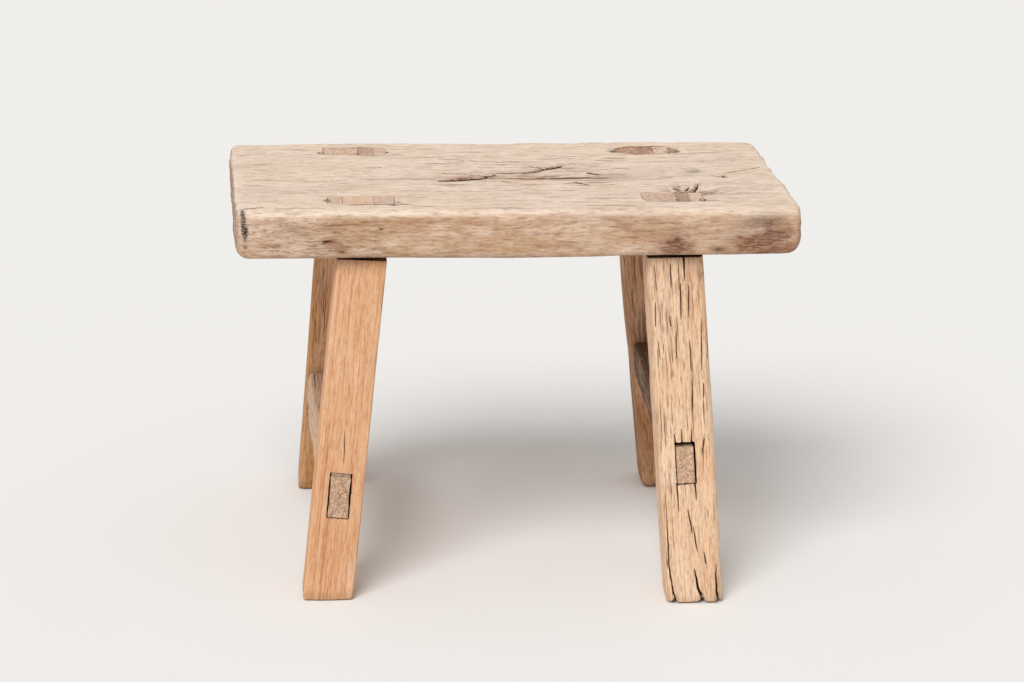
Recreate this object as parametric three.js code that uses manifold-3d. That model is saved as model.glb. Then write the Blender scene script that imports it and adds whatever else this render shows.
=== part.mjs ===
// A small wooden milking stool: a thick plank seat on four splayed legs, with a stretcher between the
// legs of each end. Every joint is a through mortise and tenon, tightened with wedges, without nails or
// glue. Units are millimetres, +Z is up, +X runs along the seat and -Y is the front. The origin is on
// the floor, under the middle of the stool.
import * as THREE from "three";
import { mergeVertices } from "three/addons/utils/BufferGeometryUtils.js";
import Module from "manifold-3d";

const wasm = await Module();
wasm.setup();

// Driving dimensions.
const SEAT_TOP = 281;
const SEAT_THICKNESS = 34.5;
const SEAT_BOTTOM = SEAT_TOP - SEAT_THICKNESS;
const SEAT_HALF_DEPTH = 100;
// The plank's ends aren't quite square: x of each corner.
const SEAT_CORNERS = { frontLeft: -197.5, frontRight: 205, backRight: 197, backLeft: -203 };
const SEAT_CORNER_RADII = [9, 6, 14, 14]; // in the same order
const SEAT_TOP_ROUND = 4;
const SEAT_FRONT_ROUND = 7; // the front's upper edge is worn most
const SEAT_END_ROUND = 11; // the lower edge of each end is worn round
const SEAT_SIDE_ROUND = 2.5; // the lower edge of the front and back

const GAP = 0.3; // clearance between two pieces that touch
const PAST = 5; // how far a cutter runs past the face that it cuts
const CURVE_STEPS = 5; // flats to each rounded corner
const WEDGE_LENGTH = 29;

// Each leg's axis is given where it meets the floor and the seat's underside. tenon is the tenon's x
// range from the axis, tenonDepth its size along Y, tenonShift its offset along Y and tenonDrop how far
// its end lies below the seat's top. shoulderGap is the open joint under the seat, at the leg's left and
// right side. wedges holds the thicknesses of the wedges at the tenon's left and right, counted outwards
// from the tenon, and taper is a wedge's thickness at the underside as a share of that at the top.
const LEGS = {
  front_left: {
    foot: [-133.4, -112], top: [-107.5, -74], width: 36, depth: 35, round: 1.6,
    tenon: [-17.4, 5.1], tenonDepth: 21, tenonShift: 0, tenonDrop: 0.4,
    shoulderGap: [2.6, 4.2], wedges: { left: [10], right: [14] }, taper: 0.15,
  },
  back_left: {
    foot: [-132.7, 122], top: [-115.7, 78.5], width: 39.5, depth: 39, round: 2,
    tenon: [-19.3, 7], tenonDepth: 19.5, tenonShift: 1.3, tenonDrop: 0.6,
    shoulderGap: [0.6, 0.6], wedges: { left: [], right: [12, 8] }, taper: 0.35,
  },
  front_right: {
    foot: [130.6, -127.5], top: [115, -74], width: 41, depth: 37, round: 5,
    tenon: [-19.7, 4.8], tenonDepth: 23, tenonShift: 2.5, tenonDrop: 0.5,
    shoulderGap: [2.9, 2.3], wedges: { left: [], right: [10, 9] }, taper: 0.35,
  },
  back_right: {
    foot: [141, 115.5], top: [110.9, 76], width: 42, depth: 38, round: 4,
    tenon: [-18.5, 10.5], tenonDepth: 22, tenonShift: 3, tenonDrop: 2.4,
    shoulderGap: [0.6, 0.6], wedges: { left: [], right: [11, 7] }, taper: 0.35,
  },
};

// Each stretcher's axis rises from the front leg to the back one, and runs offset from the legs' own axes.
// roll is the tangent of its turn about its axis, which squares it to the front leg. bodyShift is how far
// the body lies beside the axis, front and back, so its outer face meets each back leg's outer face.
// topGap is the open joint above each tenon, front and back, and wedged says whether a wedge fills it.
const STRETCHERS = {
  left: {
    legs: ["front_left", "back_left"], heights: [75, 87], offset: 0.5, roll: 0.09,
    tenonWidth: 14.4, tenonHeight: 29, bodyWidth: 27, bodyHeight: 31, bodyShift: [0, -6],
    topGap: [2.9, 2.9], wedged: [true, true],
  },
  right: {
    legs: ["front_right", "back_right"], heights: [99.5, 114], offset: -1.3, roll: -0.06,
    tenonWidth: 12.9, tenonHeight: 26.5, bodyWidth: 24, bodyHeight: 30, bodyShift: [0, -6.5],
    topGap: [2.4, 1.2], wedged: [false, false],
  },
};
const STRETCHER_CHAMFER = 7; // along the body's lower edges
const STRETCHER_ROUND = 2; // along the body's upper edges
const STRETCHER_WEDGE_LENGTH = 24;
const STRETCHER_WEDGE_TIP = 0.9;

const WOOD = {
  seat: { color: 0xcbb296, roughness: 0.85 },
  front_left: { color: 0xc98f5f, roughness: 0.8 },
  back_left: { color: 0xa9794d, roughness: 0.85 },
  front_right: { color: 0xcfa983, roughness: 0.85 },
  back_right: { color: 0xa07a57, roughness: 0.85 },
  stretcher: { color: 0xa08565, roughness: 0.9 },
  wedge: { color: 0xb8967a, roughness: 0.9 },
};

// Geometry to solid and back.
function solidOf(geometry) {
  const bare = geometry.index ? geometry.toNonIndexed() : geometry.clone();
  bare.deleteAttribute("normal");
  bare.deleteAttribute("uv");
  const merged = mergeVertices(bare, 1e-4);
  return new wasm.Manifold(
    new wasm.Mesh({
      numProp: 3,
      vertProperties: merged.attributes.position.array,
      triVerts: new Uint32Array(merged.index.array),
    }),
  );
}

function geometryOf(solid) {
  const mesh = solid.getMesh();
  const geometry = new THREE.BufferGeometry();
  geometry.setAttribute("position", new THREE.BufferAttribute(mesh.vertProperties, 3));
  geometry.setIndex(new THREE.BufferAttribute(mesh.triVerts, 1));
  geometry.computeVertexNormals();
  return geometry;
}

function polygon(points) {
  return new THREE.Shape(points.map(([x, y]) => new THREE.Vector2(x, y)));
}

// A polygon with each corner replaced by an arc of its own radius.
function roundedPolygon(points, radii) {
  const shape = new THREE.Shape();
  points.forEach((corner, i) => {
    const here = new THREE.Vector2(...corner);
    const before = new THREE.Vector2(...points[(i + points.length - 1) % points.length]);
    const after = new THREE.Vector2(...points[(i + 1) % points.length]);
    const start = here.clone().add(before.sub(here).setLength(radii[i]));
    const end = here.clone().add(after.sub(here).setLength(radii[i]));
    if (i === 0) shape.moveTo(start.x, start.y);
    else shape.lineTo(start.x, start.y);
    // A cubic with handles at this share of the radius follows a quarter circle.
    const handle = 0.5523;
    const a = start.clone().lerp(here, handle);
    const b = end.clone().lerp(here, handle);
    shape.bezierCurveTo(a.x, a.y, b.x, b.y, end.x, end.y);
  });
  shape.closePath();
  return shape;
}

function roundedRectangle(x0, x1, y0, y1, radius) {
  return roundedPolygon([[x0, y0], [x1, y0], [x1, y1], [x0, y1]], Array(4).fill(radius));
}

function extruded(shape, depth) {
  return new THREE.ExtrudeGeometry(shape, { depth, bevelEnabled: false, curveSegments: CURVE_STEPS });
}

// A shape in the XY plane, raised from z0 to z1.
function raised(shape, z0, z1) {
  return solidOf(extruded(shape, z1 - z0).translate(0, 0, z0));
}

// A shape drawn in the XZ plane, seen from the front, that runs from y0 to y1.
function alongY(shape, y0, y1) {
  return solidOf(extruded(shape, y1 - y0).rotateX(Math.PI / 2).translate(0, y1, 0));
}

// A shape drawn in the YZ plane, seen from the right end, that runs from x0 to x1.
function alongX(shape, x0, x1) {
  const turn = new THREE.Matrix4().set(0, 0, 1, x0, 1, 0, 0, 0, 0, 1, 0, 0, 0, 0, 0, 1);
  return solidOf(extruded(shape, x1 - x0).applyMatrix4(turn));
}

// Places on a leg. A leg is a vertical prism sheared along its axis, so its foot and shoulder stay level.
function axisAt(leg, z) {
  const share = z / SEAT_BOTTOM;
  return [0, 1].map((i) => leg.foot[i] + (leg.top[i] - leg.foot[i]) * share);
}

function leanOf(leg) {
  const kx = (leg.top[0] - leg.foot[0]) / SEAT_BOTTOM;
  const ky = (leg.top[1] - leg.foot[1]) / SEAT_BOTTOM;
  return [1, 0, 0, 0, 0, 1, 0, 0, kx, ky, 1, 0, leg.foot[0], leg.foot[1], 0, 1];
}

// The wedges beside a tenon. side is -1 at its left and 1 at its right. Each wedge lies between two lines
// that start at the tenon's side and lean further out towards the top.
function wedgeLines(leg, side) {
  const start = side < 0 ? leg.tenon[0] : leg.tenon[1];
  const thicknesses = side < 0 ? leg.wedges.left : leg.wedges.right;
  const lines = [{ top: start, bottom: start }];
  for (const thickness of thicknesses) {
    const last = lines[lines.length - 1];
    lines.push({
      top: last.top + side * (thickness + GAP),
      bottom: last.bottom + side * (thickness * leg.taper + GAP),
    });
  }
  return lines;
}

// A line's x at height z. It passes through its top at the seat's top and its bottom at the underside.
function lineAt(line, z) {
  return line.bottom + ((line.top - line.bottom) * (z - SEAT_BOTTOM)) / SEAT_THICKNESS;
}

function tenonSpan(leg) {
  const half = leg.tenonDepth / 2;
  return [leg.tenonShift - half, leg.tenonShift + half];
}

function seatMortise(leg) {
  const left = wedgeLines(leg, -1).pop();
  const right = wedgeLines(leg, 1).pop();
  const low = SEAT_BOTTOM - PAST;
  const high = SEAT_TOP + PAST;
  const outline = polygon([
    [lineAt(left, low) - GAP, low],
    [lineAt(right, low) + GAP, low],
    [lineAt(right, high) + GAP, high],
    [lineAt(left, high) - GAP, high],
  ]);
  const [y0, y1] = tenonSpan(leg);
  return alongY(outline, y0 - GAP, y1 + GAP).transform(leanOf(leg));
}

function wedgeSolids(leg) {
  const [y0, y1] = tenonSpan(leg);
  const inset = 0.6; // a wedge is a little narrower than its mortise
  const low = SEAT_TOP - WEDGE_LENGTH;
  const high = SEAT_TOP - leg.tenonDrop;
  const made = [];
  for (const side of [-1, 1]) {
    const lines = wedgeLines(leg, side);
    for (let i = 0; i + 1 < lines.length; i++) {
      const near = lines[i];
      const far = lines[i + 1];
      const outline = [
        [lineAt(near, low) + side * GAP, low],
        [lineAt(far, low), low],
        [lineAt(far, high), high],
        [lineAt(near, high) + side * GAP, high],
      ];
      if (side < 0) outline.reverse();
      made.push(alongY(polygon(outline), y0 + inset, y1 - inset).transform(leanOf(leg)));
    }
  }
  return made;
}

function seatSolid() {
  const c = SEAT_CORNERS;
  const y = SEAT_HALF_DEPTH;
  const plan = roundedPolygon(
    [[c.frontLeft, -y], [c.frontRight, -y], [c.backRight, y], [c.backLeft, y]],
    SEAT_CORNER_RADII,
  );
  const x0 = c.backLeft;
  const x1 = c.frontRight;
  const front = roundedPolygon(
    [[x0, SEAT_BOTTOM], [x1, SEAT_BOTTOM], [x1, SEAT_TOP], [x0, SEAT_TOP]],
    [SEAT_END_ROUND, SEAT_END_ROUND, SEAT_TOP_ROUND, SEAT_TOP_ROUND],
  );
  const end = roundedPolygon(
    [[-y, SEAT_BOTTOM], [y, SEAT_BOTTOM], [y, SEAT_TOP], [-y, SEAT_TOP]],
    [SEAT_SIDE_ROUND, SEAT_SIDE_ROUND, SEAT_TOP_ROUND, SEAT_FRONT_ROUND],
  );
  let seat = raised(plan, SEAT_BOTTOM - 1, SEAT_TOP + 1)
    .intersect(alongY(front, -y - 1, y + 1))
    .intersect(alongX(end, x0 - 1, x1 + 1));
  for (const leg of Object.values(LEGS)) seat = seat.subtract(seatMortise(leg));
  return seat;
}

// A stretcher's places. Its axis is a straight line from the middle of one leg to the middle of the other.
function stretcherAxis(stretcher) {
  const ends = stretcher.legs.map((name, i) => {
    const [x, y] = axisAt(LEGS[name], stretcher.heights[i]);
    return { x: x + stretcher.offset, y, z: stretcher.heights[i] };
  });
  const [front, back] = ends;
  const rise = (back.z - front.z) / (back.y - front.y);
  const drift = (back.x - front.x) / (back.y - front.y);
  return { front, back, rise, drift };
}

// Where the line z = front.z + offset + rise * (y - front.y) meets a leg's face. face is that face's
// distance from the leg's axis along Y.
function meet(stretcher, offset, leg, face) {
  const { front, rise } = stretcherAxis(stretcher);
  const slope = (leg.top[1] - leg.foot[1]) / SEAT_BOTTOM;
  const level = front.z + offset - rise * front.y;
  const y = (leg.foot[1] + face + slope * level) / (1 - slope * rise);
  return [y, front.z + offset + rise * (y - front.y)];
}

// A stretcher's side view between two faces of its two legs, from low to high beside its axis.
function sideView(stretcher, low, high, frontFace, backFace) {
  const [frontLeg, backLeg] = stretcher.legs.map((name) => LEGS[name]);
  return [
    meet(stretcher, low, frontLeg, frontFace),
    meet(stretcher, low, backLeg, backFace),
    meet(stretcher, high, backLeg, backFace),
    meet(stretcher, high, frontLeg, frontFace),
  ];
}

// A solid that runs along a stretcher and spans x0 to x1 from its axis.
function runAlong(stretcher, low, high, frontFace, backFace, x0, x1) {
  const outline = polygon(sideView(stretcher, low, high, frontFace, backFace));
  return alongX(outline, x0, x1).transform(ontoAxis(stretcher));
}

// Moves a solid whose x is counted from the stretcher's axis to its place, and rolls it about that axis.
// extraDrift turns it sideways and extraShift moves it.
function ontoAxis(stretcher, extraDrift = 0, extraShift = 0) {
  const { front, rise, drift } = stretcherAxis(stretcher);
  const roll = stretcher.roll;
  const along = drift + extraDrift;
  const x = front.x + extraShift - along * front.y - roll * (front.z - rise * front.y);
  return [1, 0, -roll, 0, along - roll * rise, 1, 0, 0, roll, 0, 1, 0, x, 0, 0, 1];
}

function stretcherSolid(stretcher) {
  const [frontLeg, backLeg] = stretcher.legs.map((name) => LEGS[name]);
  const { front, back, rise } = stretcherAxis(stretcher);
  const halfWidth = stretcher.bodyWidth / 2;
  const halfHeight = stretcher.bodyHeight / 2;
  // The body's section has its upper edges rounded and its lower edges cut off.
  const section = roundedPolygon(
    [
      [STRETCHER_CHAMFER - halfWidth, -halfHeight], [halfWidth - STRETCHER_CHAMFER, -halfHeight],
      [halfWidth, -halfHeight + STRETCHER_CHAMFER], [halfWidth, halfHeight],
      [-halfWidth, halfHeight], [-halfWidth, -halfHeight + STRETCHER_CHAMFER],
    ],
    [1, 1, 1, STRETCHER_ROUND, STRETCHER_ROUND, 1],
  );
  const climb = [1, 0, 0, 0, 0, 1, rise, 0, 0, 0, 1, 0, 0, 0, front.z - rise * front.y, 1];
  const reach = 2 * SEAT_HALF_DEPTH;
  const clearance = 2 * GAP; // the rolled body's ends stay this far from the legs
  const outline = sideView(
    stretcher, -2 * halfHeight, 2 * halfHeight,
    frontLeg.depth / 2 + clearance, -backLeg.depth / 2 - clearance,
  );
  const ends = alongX(polygon(outline), -2 * halfWidth, 2 * halfWidth);
  const [shiftFront, shiftBack] = stretcher.bodyShift;
  const turn = (shiftBack - shiftFront) / (back.y - front.y);
  const body = alongY(section, -reach, reach)
    .transform(climb)
    .intersect(ends)
    .transform(ontoAxis(stretcher, turn, shiftFront));
  const halfTenon = stretcher.tenonHeight / 2;
  const flush = 0.4; // the tenons end a little inside the legs' outer faces
  const tenons = runAlong(
    stretcher, -halfTenon, halfTenon, -frontLeg.depth / 2 + flush, backLeg.depth / 2 - flush,
    -stretcher.tenonWidth / 2, stretcher.tenonWidth / 2,
  );
  return body.add(tenons);
}

function stretcherMortise(stretcher, end) {
  const [frontLeg, backLeg] = stretcher.legs.map((name) => LEGS[name]);
  const halfTenon = stretcher.tenonHeight / 2;
  return runAlong(
    stretcher, -halfTenon - GAP, halfTenon + stretcher.topGap[end],
    -frontLeg.depth / 2 - PAST, backLeg.depth / 2 + PAST,
    -stretcher.tenonWidth / 2 - GAP, stretcher.tenonWidth / 2 + GAP,
  );
}

// The thin wedge above a stretcher's tenon, driven in from outside. end is 0 at the front, 1 at the back.
function stretcherWedge(stretcher, end) {
  const leg = LEGS[stretcher.legs[end]];
  const outward = end === 0 ? -1 : 1;
  const face = outward * (leg.depth / 2 - 0.5);
  const top = stretcher.tenonHeight / 2 + stretcher.topGap[end] - GAP;
  const tip = face - outward * STRETCHER_WEDGE_LENGTH;
  const outline = [
    meet(stretcher, stretcher.tenonHeight / 2 + GAP, leg, face),
    meet(stretcher, top - STRETCHER_WEDGE_TIP, leg, tip),
    meet(stretcher, top, leg, tip),
    meet(stretcher, top, leg, face),
  ];
  if (end === 1) outline.reverse();
  const half = stretcher.tenonWidth / 2 - 0.4;
  return alongX(polygon(outline), -half, half).transform(ontoAxis(stretcher));
}

function legSolid(leg, name) {
  const halfWidth = leg.width / 2;
  const halfDepth = leg.depth / 2;
  const section = roundedRectangle(-halfWidth, halfWidth, -halfDepth, halfDepth, leg.round);
  const body = raised(section, 0, SEAT_BOTTOM);
  const [gapLeft, gapRight] = leg.shoulderGap;
  const open = alongY(
    polygon([
      [-halfWidth - 1, SEAT_BOTTOM - gapLeft], [halfWidth + 1, SEAT_BOTTOM - gapRight],
      [halfWidth + 1, SEAT_TOP], [-halfWidth - 1, SEAT_TOP],
    ]),
    -halfDepth - 1, halfDepth + 1,
  );
  const [y0, y1] = tenonSpan(leg);
  const [x0, x1] = leg.tenon;
  const tenon = raised(
    polygon([[x0, y0], [x1, y0], [x1, y1], [x0, y1]]), SEAT_BOTTOM - 2 * PAST, SEAT_TOP - leg.tenonDrop,
  );
  let solid = body.subtract(open).add(tenon).transform(leanOf(leg));
  for (const stretcher of Object.values(STRETCHERS)) {
    const end = stretcher.legs.indexOf(name);
    if (end >= 0) solid = solid.subtract(stretcherMortise(stretcher, end));
  }
  return solid;
}

// The assembly.
const stool = new THREE.Group();

function addPiece(name, solid, wood) {
  const material = new THREE.MeshStandardMaterial({ ...wood, metalness: 0 });
  const mesh = new THREE.Mesh(geometryOf(solid), material);
  mesh.name = name;
  stool.add(mesh);
}

addPiece("seat_board", seatSolid(), WOOD.seat);
for (const [name, leg] of Object.entries(LEGS)) {
  addPiece(`leg_${name}`, legSolid(leg, name), WOOD[name]);
  wedgeSolids(leg).forEach((wedge, i) => addPiece(`seat_wedge_${name}_${i + 1}`, wedge, WOOD.wedge));
}
for (const [side, stretcher] of Object.entries(STRETCHERS)) {
  addPiece(`stretcher_${side}`, stretcherSolid(stretcher), WOOD.stretcher);
  stretcher.legs.forEach((leg, end) => {
    if (!stretcher.wedged[end]) return;
    addPiece(`stretcher_wedge_${leg}`, stretcherWedge(stretcher, end), WOOD.wedge);
  });
}

export default stool;
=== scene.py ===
"""The looks of a worn wooden milking stool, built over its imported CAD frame.

Shapes are worked out in millimetres and stored in metres. Each piece is a dense skin with real wear, dents
and cracks. It carries its grain as mesh attributes, so the wood runs through the piece, and its ends show end
grain.
"""

import itertools
import math

import bpy
import numpy as np
from mathutils import Matrix, Vector


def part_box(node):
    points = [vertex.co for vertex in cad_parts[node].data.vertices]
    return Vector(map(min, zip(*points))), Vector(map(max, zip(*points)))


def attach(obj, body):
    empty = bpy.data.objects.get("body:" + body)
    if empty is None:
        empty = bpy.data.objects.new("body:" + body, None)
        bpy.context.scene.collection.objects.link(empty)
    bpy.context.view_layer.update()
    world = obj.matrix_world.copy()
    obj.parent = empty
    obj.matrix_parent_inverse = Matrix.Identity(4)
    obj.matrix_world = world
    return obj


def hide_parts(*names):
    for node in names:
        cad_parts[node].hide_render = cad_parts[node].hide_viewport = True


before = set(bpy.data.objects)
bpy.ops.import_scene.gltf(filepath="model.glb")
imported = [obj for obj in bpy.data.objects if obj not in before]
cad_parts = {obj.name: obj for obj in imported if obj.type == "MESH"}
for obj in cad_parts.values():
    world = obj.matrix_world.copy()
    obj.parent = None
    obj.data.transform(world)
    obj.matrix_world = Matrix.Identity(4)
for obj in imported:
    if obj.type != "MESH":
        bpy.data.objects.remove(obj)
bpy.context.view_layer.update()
MM = 0.001

# Sizes of the CAD frame, in millimetres.
SEAT_BOTTOM, SEAT_TOP = (round(corner[2] / MM, 1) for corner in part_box("seat_board"))
SEAT_THICKNESS = SEAT_TOP - SEAT_BOTTOM
SEAT_HALF_LENGTH = 200.0
SEAT_HALF_DEPTH = 100.0
GAP = 0.3

# The legs. foot and top are the axis's x and y at the floor and at the seat's underside. width, depth and
# round are the section and the radius of its corners. tenon is the tenon's x range beside the axis,
# tenon_depth its depth, shift how far behind the axis it lies and drop how far its top lies below the
# seat's. shoulder is how far the left and right shoulder stand off the seat. left and right are the
# thicknesses of the wedges on each side of the tenon, from the tenon outwards, taper is the share of that
# which they keep at the underside, and square is how square the mortise's ends are.
LEGS = {
    "front_left": dict(
        foot=(-133.4, -112), top=(-107.5, -74), width=36, depth=35, round=1.8,
        tenon=(-17.4, 5.1), tenon_depth=21, shift=0, drop=0.15, shoulder=(2.6, 4.2),
        left=[10], right=[14], taper=0.15, square=9,
    ),
    "back_left": dict(
        foot=(-132.7, 122), top=(-115.7, 78.5), width=39.5, depth=39, round=2.2,
        tenon=(-19.3, 7), tenon_depth=19.5, shift=1.3, drop=0.3, shoulder=(0.6, 0.6),
        left=[], right=[12, 8], taper=0.35, square=9,
    ),
    "front_right": dict(
        foot=(130.6, -127.5), top=(115, -74), width=41, depth=37, round=5,
        tenon=(-19.7, 4.8), tenon_depth=23, shift=2.5, drop=0.2, shoulder=(2.9, 2.3),
        left=[], right=[10, 9], taper=0.35, square=6,
    ),
    "back_right": dict(
        foot=(141, 115.5), top=(110.9, 76), width=42, depth=38, round=4,
        tenon=(-18.5, 10.5), tenon_depth=22, shift=3, drop=1.2, shoulder=(0.6, 0.6),
        left=[], right=[11, 7], taper=0.35, square=2.6,
    ),
}
# The stretchers. heights are the axis's z at the front and back leg, offset how far right of the legs' axes
# it lies and roll how much it leans. tenon and body are widths and heights, and shift is how far right of
# the axis the body lies at its front and back end. The gaps are how open its mortises are.
STRETCHERS = {
    "left": dict(
        legs=("front_left", "back_left"), heights=(75, 87), offset=0.5, roll=0.09,
        tenon=(14.4, 29), body=(27, 31), shift=(0, -6),
        top_gap=(2.9, 2.9), side_gaps=(0.8, 0.9), low_gap=0.6, wedged=True,
    ),
    "right": dict(
        legs=("front_right", "back_right"), heights=(99.5, 114), offset=-1.3, roll=-0.06,
        tenon=(12.9, 26.5), body=(24, 30), shift=(0, -6.5),
        top_gap=(2.4, 1.2), side_gaps=(0.5, 1.2), low_gap=0.3, wedged=False,
    ),
}


# Noise.


def hashed(cells, seed):
    """A fixed random number from 0 to 1 for each whole-numbered cell."""
    n = (cells @ np.array([73856093, 19349663, 83492791]) + seed * 2654435761).astype(np.uint64)
    for factor in (0xFF51AFD7ED558CCD, 0xC4CEB9FE1A85EC53):
        n ^= n >> np.uint64(33)
        n *= np.uint64(factor)
    return (n >> np.uint64(11)).astype(float) / 2.0**53


def noise(points, size, seed):
    """Smooth noise from -1 to 1. size is how long its bumps are along each axis."""
    places = points / np.array(size, float)
    cells = np.floor(places).astype(np.int64)
    part = places - cells
    ease = part * part * (3 - 2 * part)
    total = np.zeros(len(points))
    for corner in itertools.product((0, 1), repeat=3):
        weight = np.prod(np.where(corner, ease, 1 - ease), axis=1)
        total += weight * hashed(cells + corner, seed)
    return 2 * total - 1


def step(value, low, high):
    """0 below low, 1 above high and smooth between them."""
    t = np.clip((value - low) / (high - low), 0, 1)
    return t * t * (3 - 2 * t)


# Skins.


def outline(x0, x1, y0, y1, radii, counts, arc=5):
    """Points round a rectangle with rounded corners, counterclockwise from the lower left."""
    turns = np.linspace(0, math.pi / 2, arc + 1)
    corners = [(x0, y0, 1, 1), (x1, y0, -1, 1), (x1, y1, -1, -1), (x0, y1, 1, -1)]
    arcs = []
    for i, ((x, y, sx, sy), r) in enumerate(zip(corners, radii)):
        angles = turns + math.pi * (1 + i / 2)
        arcs.append(np.stack([x + sx * r + r * np.cos(angles), y + sy * r + r * np.sin(angles)], 1))
    rows = []
    for i, count in enumerate(counts):
        start, end = arcs[i][-1], arcs[(i + 1) % 4][0]
        share = np.linspace(0, 1, count + 1)[1:-1, None]
        rows += [arcs[i], start + (end - start) * share]
    return np.concatenate(rows)


def loft(rows, rings):
    """A closed skin over rows of points, one to each station, that turn counterclockwise seen against the
    direction of travel. Shrinking rows close both ends."""

    def closing(row):
        centre = row.mean(0)
        return [centre + (row - centre) * s for s in np.linspace(1, 0, rings + 2)[1:-1]]

    rows = closing(rows[0])[::-1] + list(rows) + closing(rows[-1])
    n = len(rows[0])
    points = np.concatenate([[rows[0].mean(0)], *rows, [rows[-1].mean(0)]])
    here = np.arange(n)
    after = (here + 1) % n
    faces = [(0, 1 + b, 1 + a) for a, b in zip(here, after)]
    for k in range(len(rows) - 1):
        base = 1 + k * n
        quads = np.stack([base + here, base + after, base + n + after, base + n + here], 1)
        faces += quads.tolist()
    base = 1 + (len(rows) - 1) * n
    faces += [(base + a, base + b, len(points) - 1) for a, b in zip(here, after)]
    return points, faces


def new_object(name, points, faces):
    mesh = bpy.data.meshes.new(name)
    mesh.from_pydata((points * MM).tolist(), [], faces)
    mesh.update()
    obj = bpy.data.objects.new(name, mesh)
    bpy.context.scene.collection.objects.link(obj)
    return obj


def combine(obj, other, operation):
    """Joins other to obj or cuts it from obj, and removes other."""
    modifier = obj.modifiers.new("combine", "BOOLEAN")
    modifier.operation = operation
    modifier.solver = "MANIFOLD"
    modifier.object = other
    bpy.context.view_layer.update()
    graph = bpy.context.evaluated_depsgraph_get()
    made = bpy.data.meshes.new_from_object(obj.evaluated_get(graph))
    obj.modifiers.clear()
    obj.data = made
    bpy.data.objects.remove(other)


# Cracks.

FAR = 50.0  # millimetres from any crack


def cracks_near(along, across, cracks, seed):
    """For each place on a face: signed distance to its nearest crack, that crack's half-width and its depth.
    A crack is its line as (along, across) points, its widest half-width, its depth and, where one of its ends
    is open, which."""
    near = np.full(len(along), FAR)
    width = np.zeros(len(along))
    depth = np.zeros(len(along))
    zero = 0 * along
    for i, (line, half, deep, *open_end) in enumerate(cracks):
        us, vs = np.array(line, float).T
        t = (along - us[0]) / (us[-1] - us[0])
        inside = (t > 0) & (t < 1)
        if not inside.any():
            continue
        if open_end:
            shape = {"start": 1 - t, "end": t}[open_end[0]]
        else:
            shape = 4 * t * (1 - t)
        shape = np.sqrt(np.clip(shape, 0, 1))
        wander = noise(np.stack([along / 9, zero + i, zero], 1), (1, 1, 1), seed)
        wander += 0.5 * noise(np.stack([along / 2.2, zero + i, zero], 1), (1, 1, 1), seed + 1)
        slant = math.hypot(1, (vs[-1] - vs[0]) / (us[-1] - us[0]))
        offset = (across - np.interp(along, us, vs)) / slant - min(0.3, 0.13 + 0.2 * half) * wander
        better = inside & (np.abs(offset) < np.abs(near))
        near = np.where(better, offset, near)
        width = np.where(better, half * shape, width)
        depth = np.where(better, deep * shape, depth)
    width = width * step(1.3 + width - np.abs(near), 0, 0.4)
    groove = np.clip(1 - np.abs(near) / np.maximum(width * 1.5, 0.75), 0, 1)
    return near, width, depth * groove * (width > 0.04)


def clear_of(crack, others):
    """Whether a crack lies well apart from every other crack, measured across the grain."""
    us, vs = np.array(crack[0], float).T
    for other in others:
        other_us, other_vs = np.array(other[0], float).T
        low, high = max(us[0], other_us[0]) - 3, min(us[-1], other_us[-1]) + 3
        if low < high:
            places = np.linspace(low, high, 5)
            slant = math.hypot(1, (vs[-1] - vs[0]) / (us[-1] - us[0]))
            apart = np.abs(np.interp(places, us, vs) - np.interp(places, other_us, other_vs)) / slant
            if apart.min() < 3.6 + crack[1] + other[1]:
                return False
    return True


def layered(cracks):
    """Cracks shared out between three layers, in each of which they lie well apart, so that a face's nearest
    crack is clear everywhere. A crack with no room in any layer is left out."""
    layers = [[], [], []]
    for crack in cracks:
        for layer in layers:
            if clear_of(crack, layer):
                layer.append(crack)
                break
    return layers


def checks(rng, along, across, spacing, lengths, gaps, halves, depth, slope=0.012):
    """Drying checks, in uneven columns along the grain."""
    found = []
    for column in np.arange(across[0], across[1], spacing):
        at = along[0] + rng.uniform(0, gaps[1])
        while at < along[1] - lengths[0]:
            end = min(at + rng.uniform(*lengths), along[1])
            v = column + rng.uniform(-0.4, 0.4) * spacing
            half = halves[0] + (halves[1] - halves[0]) * rng.uniform() ** 1.7
            found.append(([(at, v), (end, v + rng.normal(0, slope) * (end - at))], half, depth))
            at = end + rng.uniform(*gaps)
    return found


# Piece making.

# What the columns of marks, wear and tone hold. Wear's columns also carry painted highlights and painted
# shade.
DARK, RED, GREY = range(3)
PALE, END, DIRT_AND_SHADE = range(3)
BROWN, FLECKED = range(2)
WALL = 0.85  # a face whose normal rises less than this is a wall


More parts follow.
